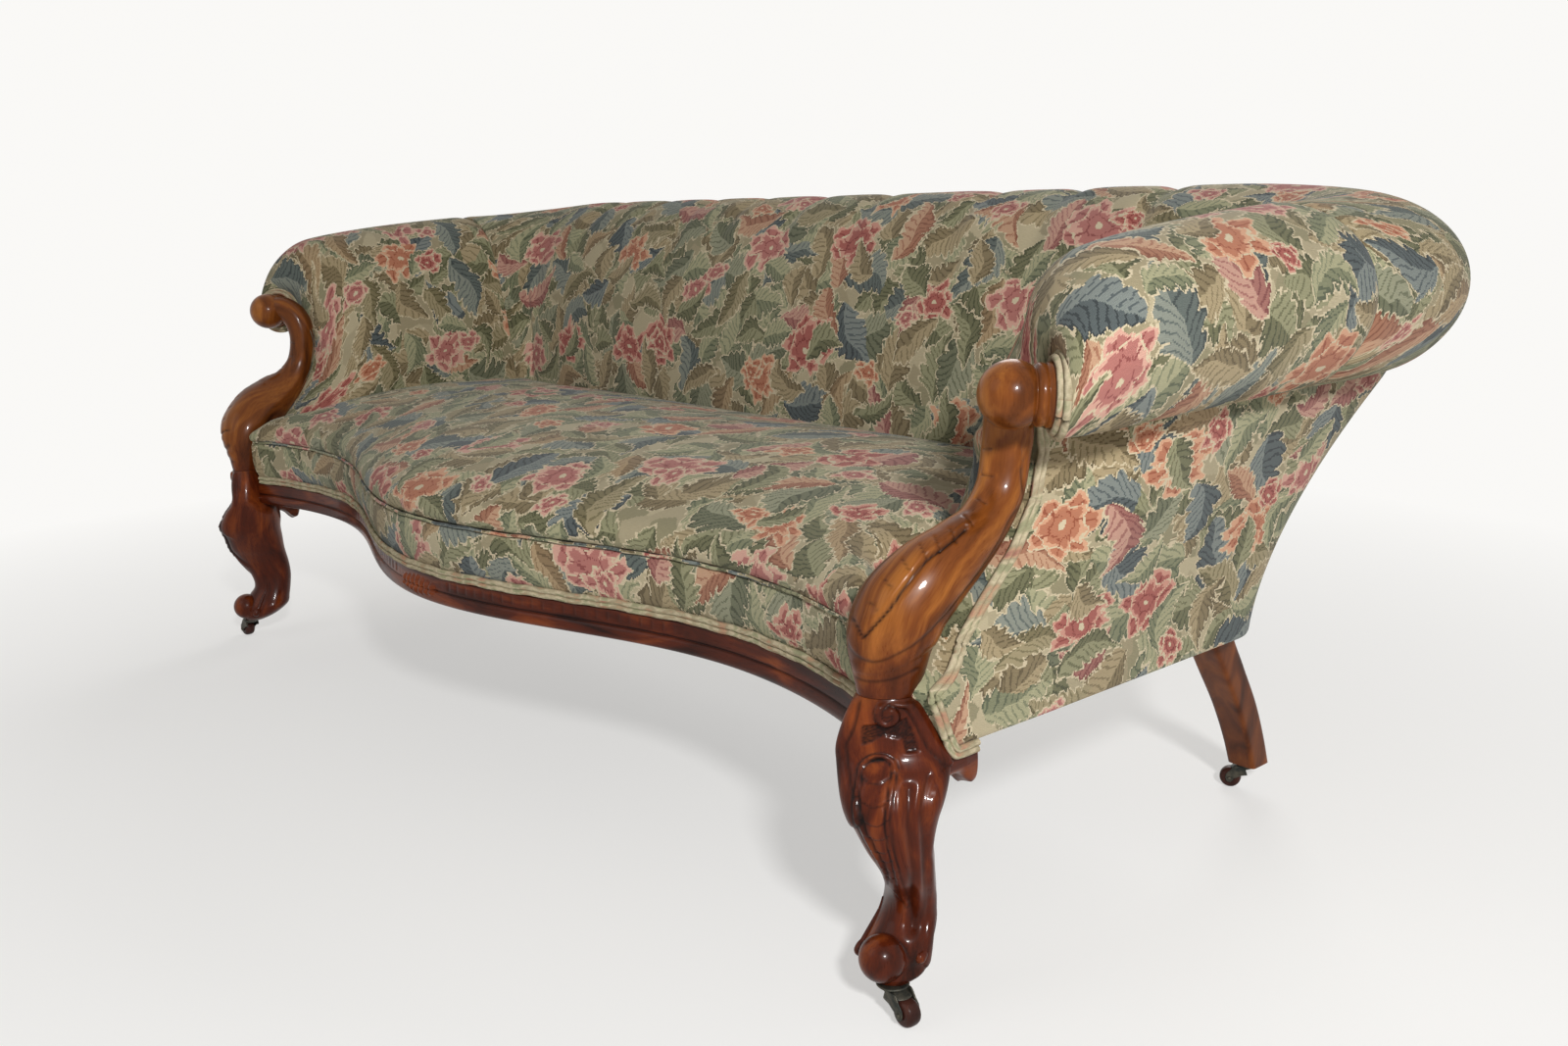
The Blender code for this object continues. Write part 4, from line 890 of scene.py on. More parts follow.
TUCKS = (-0.63, -0.48, -0.34, -0.20, -0.05, 0.10, 0.32, 0.46, 0.61)
TUCK_WIDTH = 0.013
TUCK_DEPTH = 0.0105
BACK_UV = 3.0


def back_cover():
    arm = arm_section(1.0, BACK_SECTION) - (PIVOT_X, 0.0)
    back = section(BACK_FOOT, ROLL_BACK, BACK_TUCK, ROLL_HANG, BACK_INSIDE, BACK_SECTION) - (PIVOT_DEPTH, 0.0)
    pivot_y = FRONT_Y + PIVOT_DEPTH
    corner = []
    for share in np.linspace(0.0, 1.0, 34)[:-1]:
        angle = share * np.pi / 2.0
        bulge = np.ones(len(arm))
        bulge[:BACK_SECTION] += CORNER_BULGE * math.sin(2.0 * angle) ** 2
        radius = lerp(arm[:, 0], back[:, 0], smooth(share)) * bulge
        corner.append(grid_points(PIVOT_X + radius * math.cos(angle), pivot_y + radius * math.sin(angle),
                                  lerp(arm[:, 1], back[:, 1], smooth(share))))
    corner = np.array(corner)
    straight = grid_points(np.linspace(PIVOT_X, -PIVOT_X, 118)[:, None], pivot_y + back[:, 0], back[:, 1])
    points = np.concatenate((corner, straight, mirror(corner[::-1], -1.0)))
    # Tucks over the top of the roll, and a crease where the arms start
    middle = np.array((0.0, FRONT_Y + ROLL_BACK[0], ROLL_BACK[1]))
    inwards = unit((points - middle) * np.array((0.0, 1.0, 1.0)))
    column = np.arange(points.shape[1])
    over = smooth((column - 24.0) / 6.0) * (1.0 - smooth((column - 52.0) / 8.0)) * (column < BACK_SECTION)
    dip = np.zeros(points.shape[:2])
    for number, x in enumerate(TUCKS):
        slant = 0.010 * math.sin(2.3 * number) * (column - 36.0) / 12.0
        dip += cut(points[..., 0] - x - slant, TUCK_WIDTH)
    points = points - inwards * (TUCK_DEPTH * dip * over)[..., None]
    row = np.arange(points.shape[0])
    edge = CREASE_DEPTH * cut(np.minimum(row, row[::-1]) * 0.0155, 0.010)
    arm_x = np.clip(points[..., 0], -PIVOT_X - 0.19, PIVOT_X + 0.19)
    centre = grid_points(arm_x, points[..., 1], ROLL_ARM[1])
    seen = smooth((column - 30.0) / 14.0) * (column < BACK_SECTION)
    points = points - unit(points - centre) * (edge[:, None] * seen[None])[..., None]
    uv = cover_uv(points, points.shape[0] // 2, 30)
    uv[..., 0] += BACK_UV
    pinned = pins(points, 2, 3, BACK_SECTION - 2) | ((dip * over[None]) > 0.75)
    cover("inside_back", points, uv, pinned, "back_pad", "corner_pad_left", "corner_pad_right",
          pressure=5.0, cap=0.007, fill=0.8)


# Seat and its border: shares of the seat's depth and crown, and the border's place before the rail and height

SEAT_SHAPE = ((0.030, 0.00), (0.0135, 0.012), (0.0105, 0.05), (0.006, 0.13), (0.005, 0.22), (0.022, 0.385),
              (0.06, 0.53), (0.11, 0.65), (0.20, 0.78), (0.30, 0.88), (0.42, 0.955), (0.55, 1.0), (0.70, 1.0),
              (0.80, 0.975), (0.90, 0.92), (0.96, 0.83), (0.99, 0.68), (0.997, 0.40), (0.997, 0.02))
BAND_SHAPE = ((0.012, 0.293), (0.006, 0.299), (0.0025, 0.306), (-0.0025, 0.318), (-0.0052, 0.334),
              (-0.0054, 0.350), (-0.0048, 0.360), (-0.003, 0.3655), (0.006, 0.3665), (0.014, 0.3665))
SEAT_UV = 7.0


def seat_cover():
    shape = spline(SEAT_SHAPE, 300)
    # Even steps on the cloth itself, not in shares
    real = shape * np.array((0.56, SEAT_CROWN))
    share, crown = even(np.concatenate((real, shape), axis=1), 58)[:, 2:].T
    across = np.linspace(-1.0, 1.0, 128)[:, None]
    x = across * lerp(SEAT_EAR_X, SEAT_HALF - 0.001, smooth((share - 0.060) / 0.070))[None]
    front = serpentine(np.clip(x, -LEG_X, LEG_X)) - 0.012
    past = np.maximum(np.abs(x) - PIVOT_X, 0.0)
    round_y = PIVOT_DEPTH + np.sqrt(np.maximum((SEAT_HALF - PIVOT_X) ** 2 - past ** 2, 0.0))
    y = lerp(front, FRONT_Y + np.where(past > 0.0, round_y, 0.5495), share[None])
    side = np.abs(across)
    rise = crown[None] * (1.0 - 0.16 * side ** 4) * (1.0 - 0.38 * smooth((side - 0.955) / 0.045) ** 2)
    top = grid_points(x, y, SEAT_BOTTOM + SEAT_CROWN * rise)
    below = top[:, [-1, 40, 20]]
    below[..., 2] = SEAT_BOTTOM
    points = np.concatenate((top, below), axis=1)
    uv = cover_uv(points, len(across) // 2, 20)
    uv[..., 0] += SEAT_UV
    cover("seat_cover", points, uv, pins(points, 2, 4, top.shape[1] - 3), "seat_pad",
          pressure=3.0, cap=0.006, fill=0.9)


def seat_band():
    """The border between the seat's seam and the piping on the rail."""
    out, height = np.concatenate((spline(BAND_SHAPE, 20), ((0.028, 0.3655), (0.028, 0.293)))).T
    x = np.linspace(-SEAT_EAR_X, SEAT_EAR_X, 136)[:, None]
    pucker = 0.0008 * np.sin(x * 210.0) * np.sin(x * 37.0)
    y = serpentine(x) + out + pucker * smooth((height - 0.335) / 0.02)
    points = grid_points(x, y, height)
    uv = cover_uv(points, 68)
    uv += (SEAT_UV, -0.11)
    cover("seat_band", points, uv, pins(points, 1, 3, 16), "seat_border", pressure=3.0, cap=0.003, fill=0.8)


# Outside arms and back: side, depth and corner radius of the boards at their foot and at their top

BOARD_X = (0.850, 0.905)
BOARD_DEPTH = (0.610, 0.800)
BOARD_CORNER = (0.080, 0.090)
ENDS_CLOSED = 0.97
OUTSIDE_UV = 11.0


def panel_row(z, arm_columns, corner_columns):
    """One level of the outside boards: along the arm, then round the corner."""
    share = min(max((z - PANEL_BOTTOM) / (TOP_RAIL_TOP - PANEL_BOTTOM), 0.0), 1.0) ** 1.6
    side_x = lerp(*BOARD_X, share)
    radius = lerp(*BOARD_CORNER, share)
    corner = np.array((side_x - radius, FRONT_Y + lerp(*BOARD_DEPTH, share) - radius))
    front = arm_front_y(z)
    y = lerp(front, corner[1], np.maximum(arm_columns, 0.0))
    x = lerp(PANEL_EDGE_X, side_x, smooth((y - front) / 0.150))
    turned_in = np.minimum(arm_columns, 0.0)
    x = x + turned_in * (PANEL_EDGE_X - LEG_X + 0.004)
    y = y + turned_in * 0.018
    angle = corner_columns * np.pi / 2.0
    x = np.concatenate((x, corner[0] + radius * np.cos(angle)))
    y = np.concatenate((y, corner[1] + radius * np.sin(angle)))
    return grid_points(x, y, z)


def roll_underside(x, y):
    """Height of the underside of the roll over a point in plan."""
    across = x - PIVOT_X
    along = y - FRONT_Y - PIVOT_DEPTH
    angle = np.clip(np.arctan2(along, across), 0.0, np.pi / 2.0)
    radius = np.where(along <= 0.0, across, np.where(across <= 0.0, along, np.hypot(across, along)))
    share = smooth(angle / (np.pi / 2.0))
    bulge = 1.0 + CORNER_BULGE * np.sin(2.0 * angle) ** 2
    middle = lerp(ROLL_ARM[0] - PIVOT_X, ROLL_BACK[0] - PIVOT_DEPTH, share) * bulge
    half = lerp(ROLL_ARM[2], ROLL_BACK[2], share) * bulge
    drop = lerp(ROLL_ARM[3], ROLL_BACK[3], share) * bead(radius - middle, half)
    return lerp(ROLL_ARM[1], ROLL_BACK[1], share) - drop


def outside_cover(name, points, inward, node, drift):
    """A tight cover with a thin inside; drift slides its pattern with the slope of the board."""
    count = len(points)
    inner = points[1:] + inward[None] * 0.005
    loop = np.swapaxes(np.concatenate((points, inner[::-1])), 0, 1)
    # The ends close almost, but not quite, because edges of no length stop the cloth solver
    for end in (0, -1):
        loop[end, count:] = lerp(loop[end, count:], loop[end, count - 2::-1], ENDS_CLOSED)
    middle = len(loop) // 2
    uv = cover_uv(loop, middle, 2)
    uv[..., 0] += OUTSIDE_UV + np.append(loop[middle, :, 1], loop[middle, 0, 1])[None] * drift
    cover(name, loop, uv, pins(loop, 2, 4, count - 2), node, pressure=2.0, cap=0.0012, fill=1.0,
          caps=(False, False))


def outside_covers():
    arm_columns = np.concatenate(((-1.0, -0.5, -0.12), np.linspace(0.0, 1.0, 46)))
    seam = len(arm_columns) + 12
    levels = np.linspace(PANEL_BOTTOM, 0.640, 96)
    board = np.array([panel_row(z, arm_columns, np.linspace(0.0, 1.0, 21)[1:]) for z in levels])
    # The covers stop just inside the roll, which is lower beside the arm than behind the back
    top = np.maximum(roll_underside(board[-1, :, 0], board[-1, :, 1]) + 0.007, PANEL_TOP)
    top[board[-1, :, 1] < FRONT_Y + 0.30] = PANEL_TOP
    z = lerp(PANEL_BOTTOM + 0.002, top[None], np.linspace(0.0, 1.0, 28)[:, None])
    z = np.concatenate(([top * 0.0 + PANEL_BOTTOM + 0.0005, top * 0.0 + PANEL_BOTTOM], z))
    x, y = (np.stack([np.interp(z[:, c], levels, board[:, c, k]) for c in range(len(top))], axis=1)
            for k in (0, 1))
    rows = grid_points(x, y, z)
    inward = -unit(np.gradient(rows[4], axis=0)[:, [1, 0, 2]] * np.array((1.0, -1.0, 0.0)))
    rows[0] += inward * 0.010
    rows[1] += inward * 0.002
    rows[:, seam - 1] += inward[seam - 1] * 0.003
    for label, side in SIDES:
        outside_cover(f"outside_cover_{label}", mirror(rows[:, :seam], side), mirror(inward[:seam], side),
                      f"outside_arm_{label}", 1.0)
    tail = rows[:, seam - 1:]
    end = tail[:, -1:]
    straight = lerp(end, mirror(end, -1.0), np.linspace(0.0, 1.0, 112)[None, 1:-1, None])
    back = np.concatenate((tail, straight, mirror(tail[:, ::-1], -1.0)), axis=1)
    tail_in = inward[seam - 1:]
    back_in = (tail_in, np.repeat(tail_in[-1:], straight.shape[1], 0), mirror(tail_in[::-1], -1.0))
    outside_cover("outside_cover_back", back, np.concatenate(back_in), "outside_back", 0.0)


# Piping


def piping():
    x = np.linspace(-SEAT_EAR_X + 0.004, SEAT_EAR_X - 0.004, 260)
    wobble = 0.0005 * np.sin(x * 61.0) + 0.0004 * np.sin(x * 147.0 + 1.0)

    def along_rail(out, height):
        return grid_points(x, serpentine(x) + out, height + wobble)

    low = along_rail(0.0012, RAIL_TOP + 0.0038)
    high = along_rail(0.0004, RAIL_TOP + 0.0104)
    rail_welt = cord_piece("rail_piping", [low, high], CORD_RADIUS, PIPING)
    seam = along_rail(-0.0044, SEAT_BOTTOM + 0.0010)
    made = [(rail_welt, "rail_welt"), (cord_piece("seat_seam", [seam], 0.0021, TAPESTRY, sides=8),)]
    for label, side in SIDES:
        z = np.linspace(PANEL_TOP, PANEL_BOTTOM + 0.004, 80)
        edge = grid_points(PANEL_EDGE_X, arm_front_y(z), z)
        corner = np.array((PANEL_EDGE_X + 0.001, FRONT_Y, PANEL_BOTTOM))
        turn = corner + ((0.0, 0.056, -0.002), (0.0, 0.066, -0.0035), (0.0, 0.086, -0.0035))
        path = spline(np.concatenate((edge[::4], turn)), 120)
        ahead = unit(np.cross(unit(np.gradient(path, axis=0)), (1.0, 0.0, 0.0)))
        ahead *= np.sign(-ahead[:1, 1:2])
        first = path + ahead * 0.0030 + (0.0010, 0.0, 0.0)
        second = path - ahead * 0.0036 + (0.0016, 0.0, 0.0)
        pair = [mirror(first, side), mirror(second, side)]
        made.append((cord_piece(f"post_piping_{label}", pair, CORD_RADIUS, PIPING), f"arm_welt_{label}"))
        hoop = ring(KNOB_AXIS, circle(72))
        near = RING_CENTRE + hoop * (RING_RADIUS - 0.0045) - KNOB_AXIS * 0.0055
        far = RING_CENTRE + hoop * (RING_RADIUS + 0.0005) - KNOB_AXIS * 0.0005
        pair = [mirror(near, side), mirror(far, side)]
        made.append((cord_piece(f"roll_piping_{label}", pair, 0.0036, PIPING, closed=True),))
    for piece, *nodes in made:
        dress(piece, *nodes, slot="piping")


# Carved show-wood


def loft_surface(stations, count, sides, level, squareness):
    """Points, outward directions and grain of a leg with level sections or a post that starts level."""
    rows = spline(np.concatenate((at_leg(stations[:, :3]), stations[:, 3:]), axis=1), count)
    path = rows[:, :3]
    half = rows[:, 3:]
    upright = UP * np.sign(path[-1, 2] - path[0, 2])
    if level:
        travel = np.repeat(upright[None], count, 0)
    else:
        share = np.exp(-lengths(path) / 0.010)[:, None]
        travel = unit(lerp(unit(np.gradient(path, axis=0)), upright, share))
    across = unit(ASIDE - travel * (travel @ ASIDE)[:, None])
    through = np.cross(travel, across)
    c, s = squared(circle(sides), squareness)
    wide = half[:, :1] * c
    deep = half[:, 1:] * s
    offset = across[:, None] * wide[..., None] + through[:, None] * deep[..., None]
    points = path[:, None] + offset
    normal = unit(np.cross(np.roll(points, -1, 1) - np.roll(points, 1, 1), np.gradient(points, axis=0)))
    outward = np.sign(np.einsum("ijk,ijk->ij", normal, offset))[..., None]
    grain = grid_points(wide, deep, lengths(path)[:, None])
    return points, normal * outward, grain


class Carving:
    """How far a carved surface stands out and the painted shade in its recesses and grooves, drawn line by
    line.
    """

    def __init__(self, aside, height):
        self.aside = aside
        self.height = height
        self.rise = np.zeros(aside.shape)
        self.dark = np.zeros(aside.shape)

    def line(self, points):
        """Distance from a drawn line, and on which side of it a point lies."""
        best = np.full(self.aside.shape, 1e9)
        hand = np.zeros(self.aside.shape)
        for (x0, z0), (x1, z1) in zip(points, points[1:]):
            dx = x1 - x0
            dz = z1 - z0
            t = ((self.aside - x0) * dx + (self.height - z0) * dz) / (dx * dx + dz * dz)
            t = np.clip(t, 0.0, 1.0)
            px = self.aside - x0 - t * dx
            pz = self.height - z0 - t * dz
            far = np.hypot(px, pz)
            nearer = far < best
            best = np.where(nearer, far, best)
            hand = np.where(nearer, np.sign(dx * pz - dz * px), hand)
        return best, hand

    def inside(self, points):
        """1 inside a closed outline, else 0."""
        crossings = np.zeros(self.aside.shape, int)
        for (x0, z0), (x1, z1) in zip(points, np.roll(points, -1, axis=0)):
            straddle = (z0 > self.height) != (z1 > self.height)
            at = x0 + (self.height - z0) * (x1 - x0) / (z1 - z0 if z1 != z0 else 1e-9)
            crossings += straddle & (self.aside < at)
        return (crossings % 2).astype(float)

    def raise_bead(self, points, high, width, tone=0.0, beside=0.0, soft=1.0):
        """A bead along a line, with a line of painted shade beside it."""
        far, _ = self.line(points)
        self.rise += high * bead(far, width)
        self.dark += tone * cut(far - beside, soft)

    def groove(self, points, deep, width, tone, soft, share=1.0):
        """A groove along a line, darkened with painted shade."""
        far, _ = self.line(points)
        self.rise -= deep * cut(far, width) * share
        self.dark += tone * cut(far, soft) * share


# Lines of the leg's carving: aside and height
VOLUTE = ((0.008, 0.3205), (-0.001, 0.318), (-0.007, 0.3105), (-0.0065, 0.3015), (0.000, 0.297),
          (0.007, 0.3005), (0.0085, 0.306), (0.0045, 0.3105), (0.000, 0.308))
CAP = ((-0.021, 0.0755), (-0.0115, 0.0805), (-0.0005, 0.0805), (0.0105, 0.078), (0.018, 0.0725),
       (0.0215, 0.068))
BAND = ((0.008, 0.3205), (0.0205, 0.317), (0.029, 0.306), (0.0355, 0.293), (0.0435, 0.2775), (0.054, 0.2665))
GROUND = ((-0.023, 0.2955), (-0.0045, 0.297), (0.010, 0.2995), (0.0185, 0.304), (0.026, 0.2885),
          (0.030, 0.2705), (0.0165, 0.2685), (0.0145, 0.2815), (0.004, 0.2835), (-0.0015, 0.285),
          (-0.0085, 0.2815), (-0.013, 0.278), (-0.0235, 0.2745))
RIM_RIGHT = ((-0.0245, 0.249), (-0.0225, 0.2585), (-0.013, 0.265), (-0.0025, 0.266), (0.0075, 0.2595),
             (0.006, 0.2475), (0.003, 0.2285), (0.001, 0.213), (0.003, 0.195), (0.008, 0.1675),
             (0.014, 0.1325), (0.0195, 0.104))
RIM_LEFT = ((-0.0245, 0.249), (-0.0265, 0.232), (-0.0245, 0.2165), (-0.018, 0.199), (-0.0085, 0.179),
            (-0.0015, 0.158), (-0.0005, 0.1435))
HUSKS = (0.143, 0.151, 0.161, 0.172, 0.1835, 0.1965, 0.210, 0.2255, 0.2445, 0.262)
FLUTE = ((0.0205, 0.240), (0.0205, 0.207), (0.024, 0.1795), (0.0255, 0.152), (0.0225, 0.115), (0.025, 0.088))
RIB = ((0.0605, 0.261), (0.052, 0.248), (0.0435, 0.225), (0.042, 0.2005), (0.044, 0.1685), (0.0455, 0.1225),
       (0.043, 0.0845), (0.040, 0.068))
RIB_IN = ((0.0375, 0.2515), (0.032, 0.225), (0.034, 0.1955), (0.036, 0.152), (0.036, 0.115), (0.035, 0.082))
LEFT_EDGE = ((-0.0285, 0.328), (-0.036, 0.2945), (-0.0425, 0.2785), (-0.041, 0.258), (-0.037, 0.2355),
             (-0.0285, 0.2165))
PANEL_LEVELS = (0.13, 0.16, 0.19, 0.22, 0.26)


def leg_relief(aside, height):
    """Carving on the front of a leg."""
    c = Carving(aside, height)
    # The dark values are painted shade: in the sunk ground, beside the beads, round and under the curl and
    # along the grooves
    far, _ = c.line(GROUND + GROUND[:1])
    ground = c.inside(GROUND) * smooth(far / 0.0014)
    speckle = np.sin(aside * 4100.0 + 3.0 * np.sin(height * 900.0)) * np.sin(height * 3700.0 + aside * 1900.0)
    c.rise += ground * (0.0006 * speckle - 0.0026)
    c.dark += ground * (0.72 + 0.28 * speckle)
    c.raise_bead(spline(BAND, 40), 0.0058, 0.0072, 0.7, 0.0076, 0.0011)
    far, _ = c.line(spline(VOLUTE, 60))
    radius = np.hypot(aside - 0.0015, height - 0.3055)
    curl = np.maximum(0.0064 * bead(far, 0.0036), 0.0056 * bead(radius, 0.0100))
    c.rise = np.where(curl > 0.0, np.maximum(c.rise, curl), c.rise)
    c.dark = np.where(curl > 0.0, c.dark * 0.15, c.dark)
    c.dark += 0.75 * cut(far - 0.0036, 0.0008) * (radius < 0.0105)
    c.dark += 0.8 * cut(radius - 0.0104, 0.0011) * (height < 0.308)
    # A rimmed panel of husks runs down the middle
    left = spline(RIM_LEFT, 40)[::-1]
    right = spline(RIM_RIGHT, 40)
    far, _ = c.line(np.concatenate((left, right)))
    above = smooth((height - 0.125) / 0.05)
    c.rise += (0.0017 * bead(far, 0.0020) - 0.0010 * cut(far - 0.0030, 0.0010)) * above
    c.dark += 0.9 * cut(far - 0.0026, 0.0010) * lerp(0.5, 1.0, above)
    middle = np.interp(height, PANEL_LEVELS, (0.010, 0.005, -0.006, -0.011, -0.009))
    wide = np.interp(height, PANEL_LEVELS, (0.004, 0.006, 0.010, 0.013, 0.014))
    level = height - 0.0065 * ((aside - middle) / wide) ** 2
    steps = np.array(HUSKS)
    at = np.clip(np.searchsorted(steps, level), 1, len(steps) - 1)
    share = np.clip((steps[at] - level) / (steps[at] - steps[at - 1]), 0.0, 1.0)
    panel = c.inside(np.concatenate((right, left)))
    c.rise += panel * (0.0015 * share - 0.0006)
    c.dark += panel * 0.65 * smooth((0.14 - share) / 0.14)
    c.groove(spline(FLUTE, 40), 0.0044, 0.0055, 0.35, 0.0026)
    c.raise_bead(spline(RIB, 40), 0.0034, 0.0060)
    c.groove(spline(RIB_IN, 40), 0.0028, 0.0034, 0.45, 0.0018, smooth((height - 0.10) / 0.05))
    c.raise_bead(spline(LEFT_EDGE, 40), 0.0036, 0.0075, 0.8, 0.0078, 0.0012)
    c.groove(spline(CAP, 40), 0.0016, 0.0016, 0.8, 0.0013)
    return c.rise, c.dark


# Lines of the post's carving: aside and height
LEAF_LINE = ((0.0715, 0.4605), (0.0535, 0.4485), (0.0355, 0.438), (0.018, 0.420), (0.0005, 0.400),
             (-0.0195, 0.3785))
BEAK = ((-0.0335, 0.400), (-0.023, 0.386), (-0.0195, 0.3785))
STEP = ((0.1235, 0.511), (0.123, 0.4845), (0.1125, 0.4685), (0.1015, 0.452), (0.0875, 0.4355),
        (0.0695, 0.4165), (0.052, 0.398), (0.035, 0.381), (0.0135, 0.3655), (-0.010, 0.3555),
        (-0.027, 0.3625), (-0.0345, 0.3745))
EDGE_BEAD = ((0.133, 0.5475), (0.131, 0.501), (0.119, 0.4685), (0.101, 0.443), (0.080, 0.4185),
             (0.058, 0.395), (0.035, 0.3715), (0.0095, 0.3545), (-0.0145, 0.347), (-0.0315, 0.353))
SWIRL = ((-0.035, 0.3455), (-0.019, 0.337), (0.005, 0.3385), (0.0285, 0.350))
NOTCHES = ((0.090, 0.530), (0.091, 0.5055), (0.0855, 0.4845), (0.074, 0.4675), (0.060, 0.456),
           (0.0455, 0.450), (0.0325, 0.445), (0.017, 0.4355), (0.0005, 0.4225), (-0.012, 0.406))


def post_relief(aside, height):
    """Carving on the front of an arm post."""
    c = Carving(aside, height)
    # The dark values are painted shade along the leaf line, the step, the grooves and the foot
    far, hand = c.line(spline(LEAF_LINE, 40))
    on_leaf = smooth(1.0 - far / 0.020) * (hand < 0.0)
    c.rise += 0.0034 * on_leaf * smooth(far / 0.004) - 0.0026 * cut(far, 0.0014)
    c.dark += cut(far, 0.0011)
    c.groove(BEAK, 0.0022, 0.0014, 0.9, 0.0011)
    far, hand = c.line(spline(STEP, 70))
    body = smooth(0.5 + 0.5 * np.where(hand > 0.0, -far, far) / 0.0035)
    c.rise += 0.0036 * (body - 0.5) * smooth(1.0 - far / 0.030) - 0.0012 * cut(far, 0.0020)
    c.dark += 0.55 * cut(far, 0.0016)
    c.raise_bead(spline(EDGE_BEAD, 70), 0.0026, 0.0050)
    c.groove(spline(SWIRL, 40), 0.0011, 0.0018, 0.6, 0.0014)
    line = spline(NOTCHES, 60)
    normal = unit(np.stack((np.gradient(line[:, 1]), -np.gradient(line[:, 0])), axis=1))
    for notch in np.array(NOTCHES):
        reach = normal[np.argmin(np.linalg.norm(line - notch, axis=1))] * 0.0045
        c.groove((notch + reach, notch - reach + (0.001, -0.001)), 0.0015, 0.0011, 0.5, 0.0008)
    c.rise *= lerp(0.45, 1.0, smooth((height - 0.36) / 0.05))
    foot = np.abs(height - 0.3215)
    c.rise -= 0.0015 * cut(foot, 0.0020)
    c.dark += 0.6 * cut(foot, 0.0016)
    return c.rise, c.dark


# Front surface that the carved lines are drawn on: height and how far out it lies
DRAWN = np.array((
    (0.052, 0.055), (0.0675, 0.033), (0.085, 0.010), (0.103, 0.002), (0.128, 0.019), (0.153, 0.040),
    (0.184, 0.054), (0.210, 0.055), (0.243, 0.041), (0.267, 0.030), (0.338, 0.030), (0.372, 0.036),
    (0.402, 0.029), (0.430, 0.005), (0.464, -0.035), (0.500, -0.057), (0.530, -0.060), (0.560, -0.052)))


def as_drawn(points):
    """Sideways place and height, on the drawn surface, of what the camera sees at each point."""
    ray = points - CAMERA_PLACE
    out = (points - LEG) @ FACING
    ahead = ray @ FACING
    height = points[..., 2]
    for _ in range(24):
        share = (np.interp(height, *DRAWN.T) - out) / ahead
        height = lerp(height, points[..., 2] + share * ray[..., 2], 0.55)
    return (points - LEG) @ ASIDE + share * (ray @ ASIDE), height


def carved(name, node, stations, relief, rows, sides, level, squareness, side):
    """A leg or post with its relief on the side that faces the corner."""
    points, normal, grain = loft_surface(stations, rows, sides, level, squareness)
    rise, dark = relief(*as_drawn(points))
    row = np.arange(rows)
    front = smooth((normal @ FACING - 0.08) / 0.36) * (smooth(row / 5.0) * smooth(row[::-1] / 5.0))[:, None]
    points = points + normal * (rise * front)[..., None]
    # Painted shade from the carving's dark values, kept to the carved front
    wooden_piece(name, points, grain + (0.3 * side, 0.0, 0.0), WALNUT, node, side=side,
                 recess_shade=np.clip(dark, 0.0, 1.0) * front)


def turned(name, profile, origin, axis, material, *nodes, side=1.0, sides=64, body="frame"):
    """A turned piece: (distance along the axis, radius) pairs, closed at both ends."""
    axis = unit(np.asarray(axis, float))
    angle = circle(sides)
    far, radius = np.asarray(profile, float).T
    points = origin + axis * far[:, None, None] + ring(axis, -angle)[None] * radius[:, None, None]
    grain = grid_points(np.outer(radius, np.cos(angle)), far[:, None], np.outer(radius, np.sin(angle)))
    wooden_piece(name, points, grain, material, *nodes, side=side, body=body)


def ball(radius, stop, count):
    """Profile of a ball from one pole to an angle in degrees."""
    angle = np.radians(np.linspace(2.0, stop, count))
    return np.stack((-radius * np.cos(angle), radius * np.sin(angle)), axis=1)


COLLAR = ((0.0172, 0.0254), (0.0180, 0.0244), (0.0188, 0.0254), (0.0200, 0.0272), (0.0222, 0.0282),
          (0.0250, 0.0284), (0.0275, 0.0279), (0.0284, 0.0270), (0.0293, 0.0281), (0.0310, 0.0292),
          (0.0480, 0.0294))
# Rolled edges of the ankle: out, aside, height and radius
ANKLE_EDGES = (
    ((-0.0205, -0.0030, 0.102, 0.0010), (-0.0190, -0.0055, 0.0910, 0.0020),
     (-0.0145, -0.0130, 0.0765, 0.0028), (-0.0105, -0.0200, 0.0640, 0.0034),
     (-0.0060, -0.0250, 0.0535, 0.0048)),
    ((-0.0150, 0.0460, 0.104, 0.0010), (-0.0110, 0.0460, 0.091, 0.0022), (-0.0030, 0.0432, 0.0770, 0.0028),
     (0.0085, 0.0380, 0.0675, 0.0034), (0.0190, 0.0315, 0.0615, 0.0046)))


def show_wood():
    for label, side in SIDES:
        carved(f"carved_leg_{label}", f"front_leg_{label}", LEG_STATIONS, leg_relief, rows=220, sides=132,
               level=True, squareness=2.3, side=side)
        turned(f"toe_{label}", ball(TOE_RADIUS, 178.0, 40), TOE_CENTRE, ASIDE, WALNUT, side=side)
        scroll(f"foot_scroll_{label}", side)
        carved(f"carved_post_{label}", f"arm_post_{label}", POST_STATIONS, post_relief, rows=230, sides=120,
               level=False, squareness=2.2, side=side)
        knob = np.concatenate((ball(BALL_RADIUS, 122.0, 34), COLLAR))
        turned(f"arm_knob_{label}", knob, BALL_CENTRE, KNOB_AXIS, WALNUT, side=side)


def scroll(name, side):
    """The rolled edges that run down both sides of the ankle and end in small knobs beside the toe."""
    meshes = []
    for stations in np.array(ANKLE_EDGES):
        rows = spline(np.concatenate((at_leg(stations[:, :3]), stations[:, 3:]), axis=1), 60)
        tip = np.linspace(0.0, 1.0, 16)[1:]
        radius = rows[-1, 3] * 1.25
        travel = unit(rows[-1, :3] - rows[-2, :3])
        path = np.concatenate((rows[:, :3], rows[-1, :3] + travel * (radius * tip)[:, None]))
        thick = np.concatenate((rows[:, 3], np.maximum(radius * bead(tip, 1.0), 0.0002)))
        thick[48:60] = np.maximum(thick[48:60], radius * bead(np.arange(12)[::-1], 12.0))
        points = tube_points(path, thick[:, None, None], 20)
        grain = points.copy()
        grain[..., 2] = lengths(path)[:, None]
        meshes.append(wooden(name, points, grain, side))
    dress(new_object(name, joined(name, meshes), WALNUT))


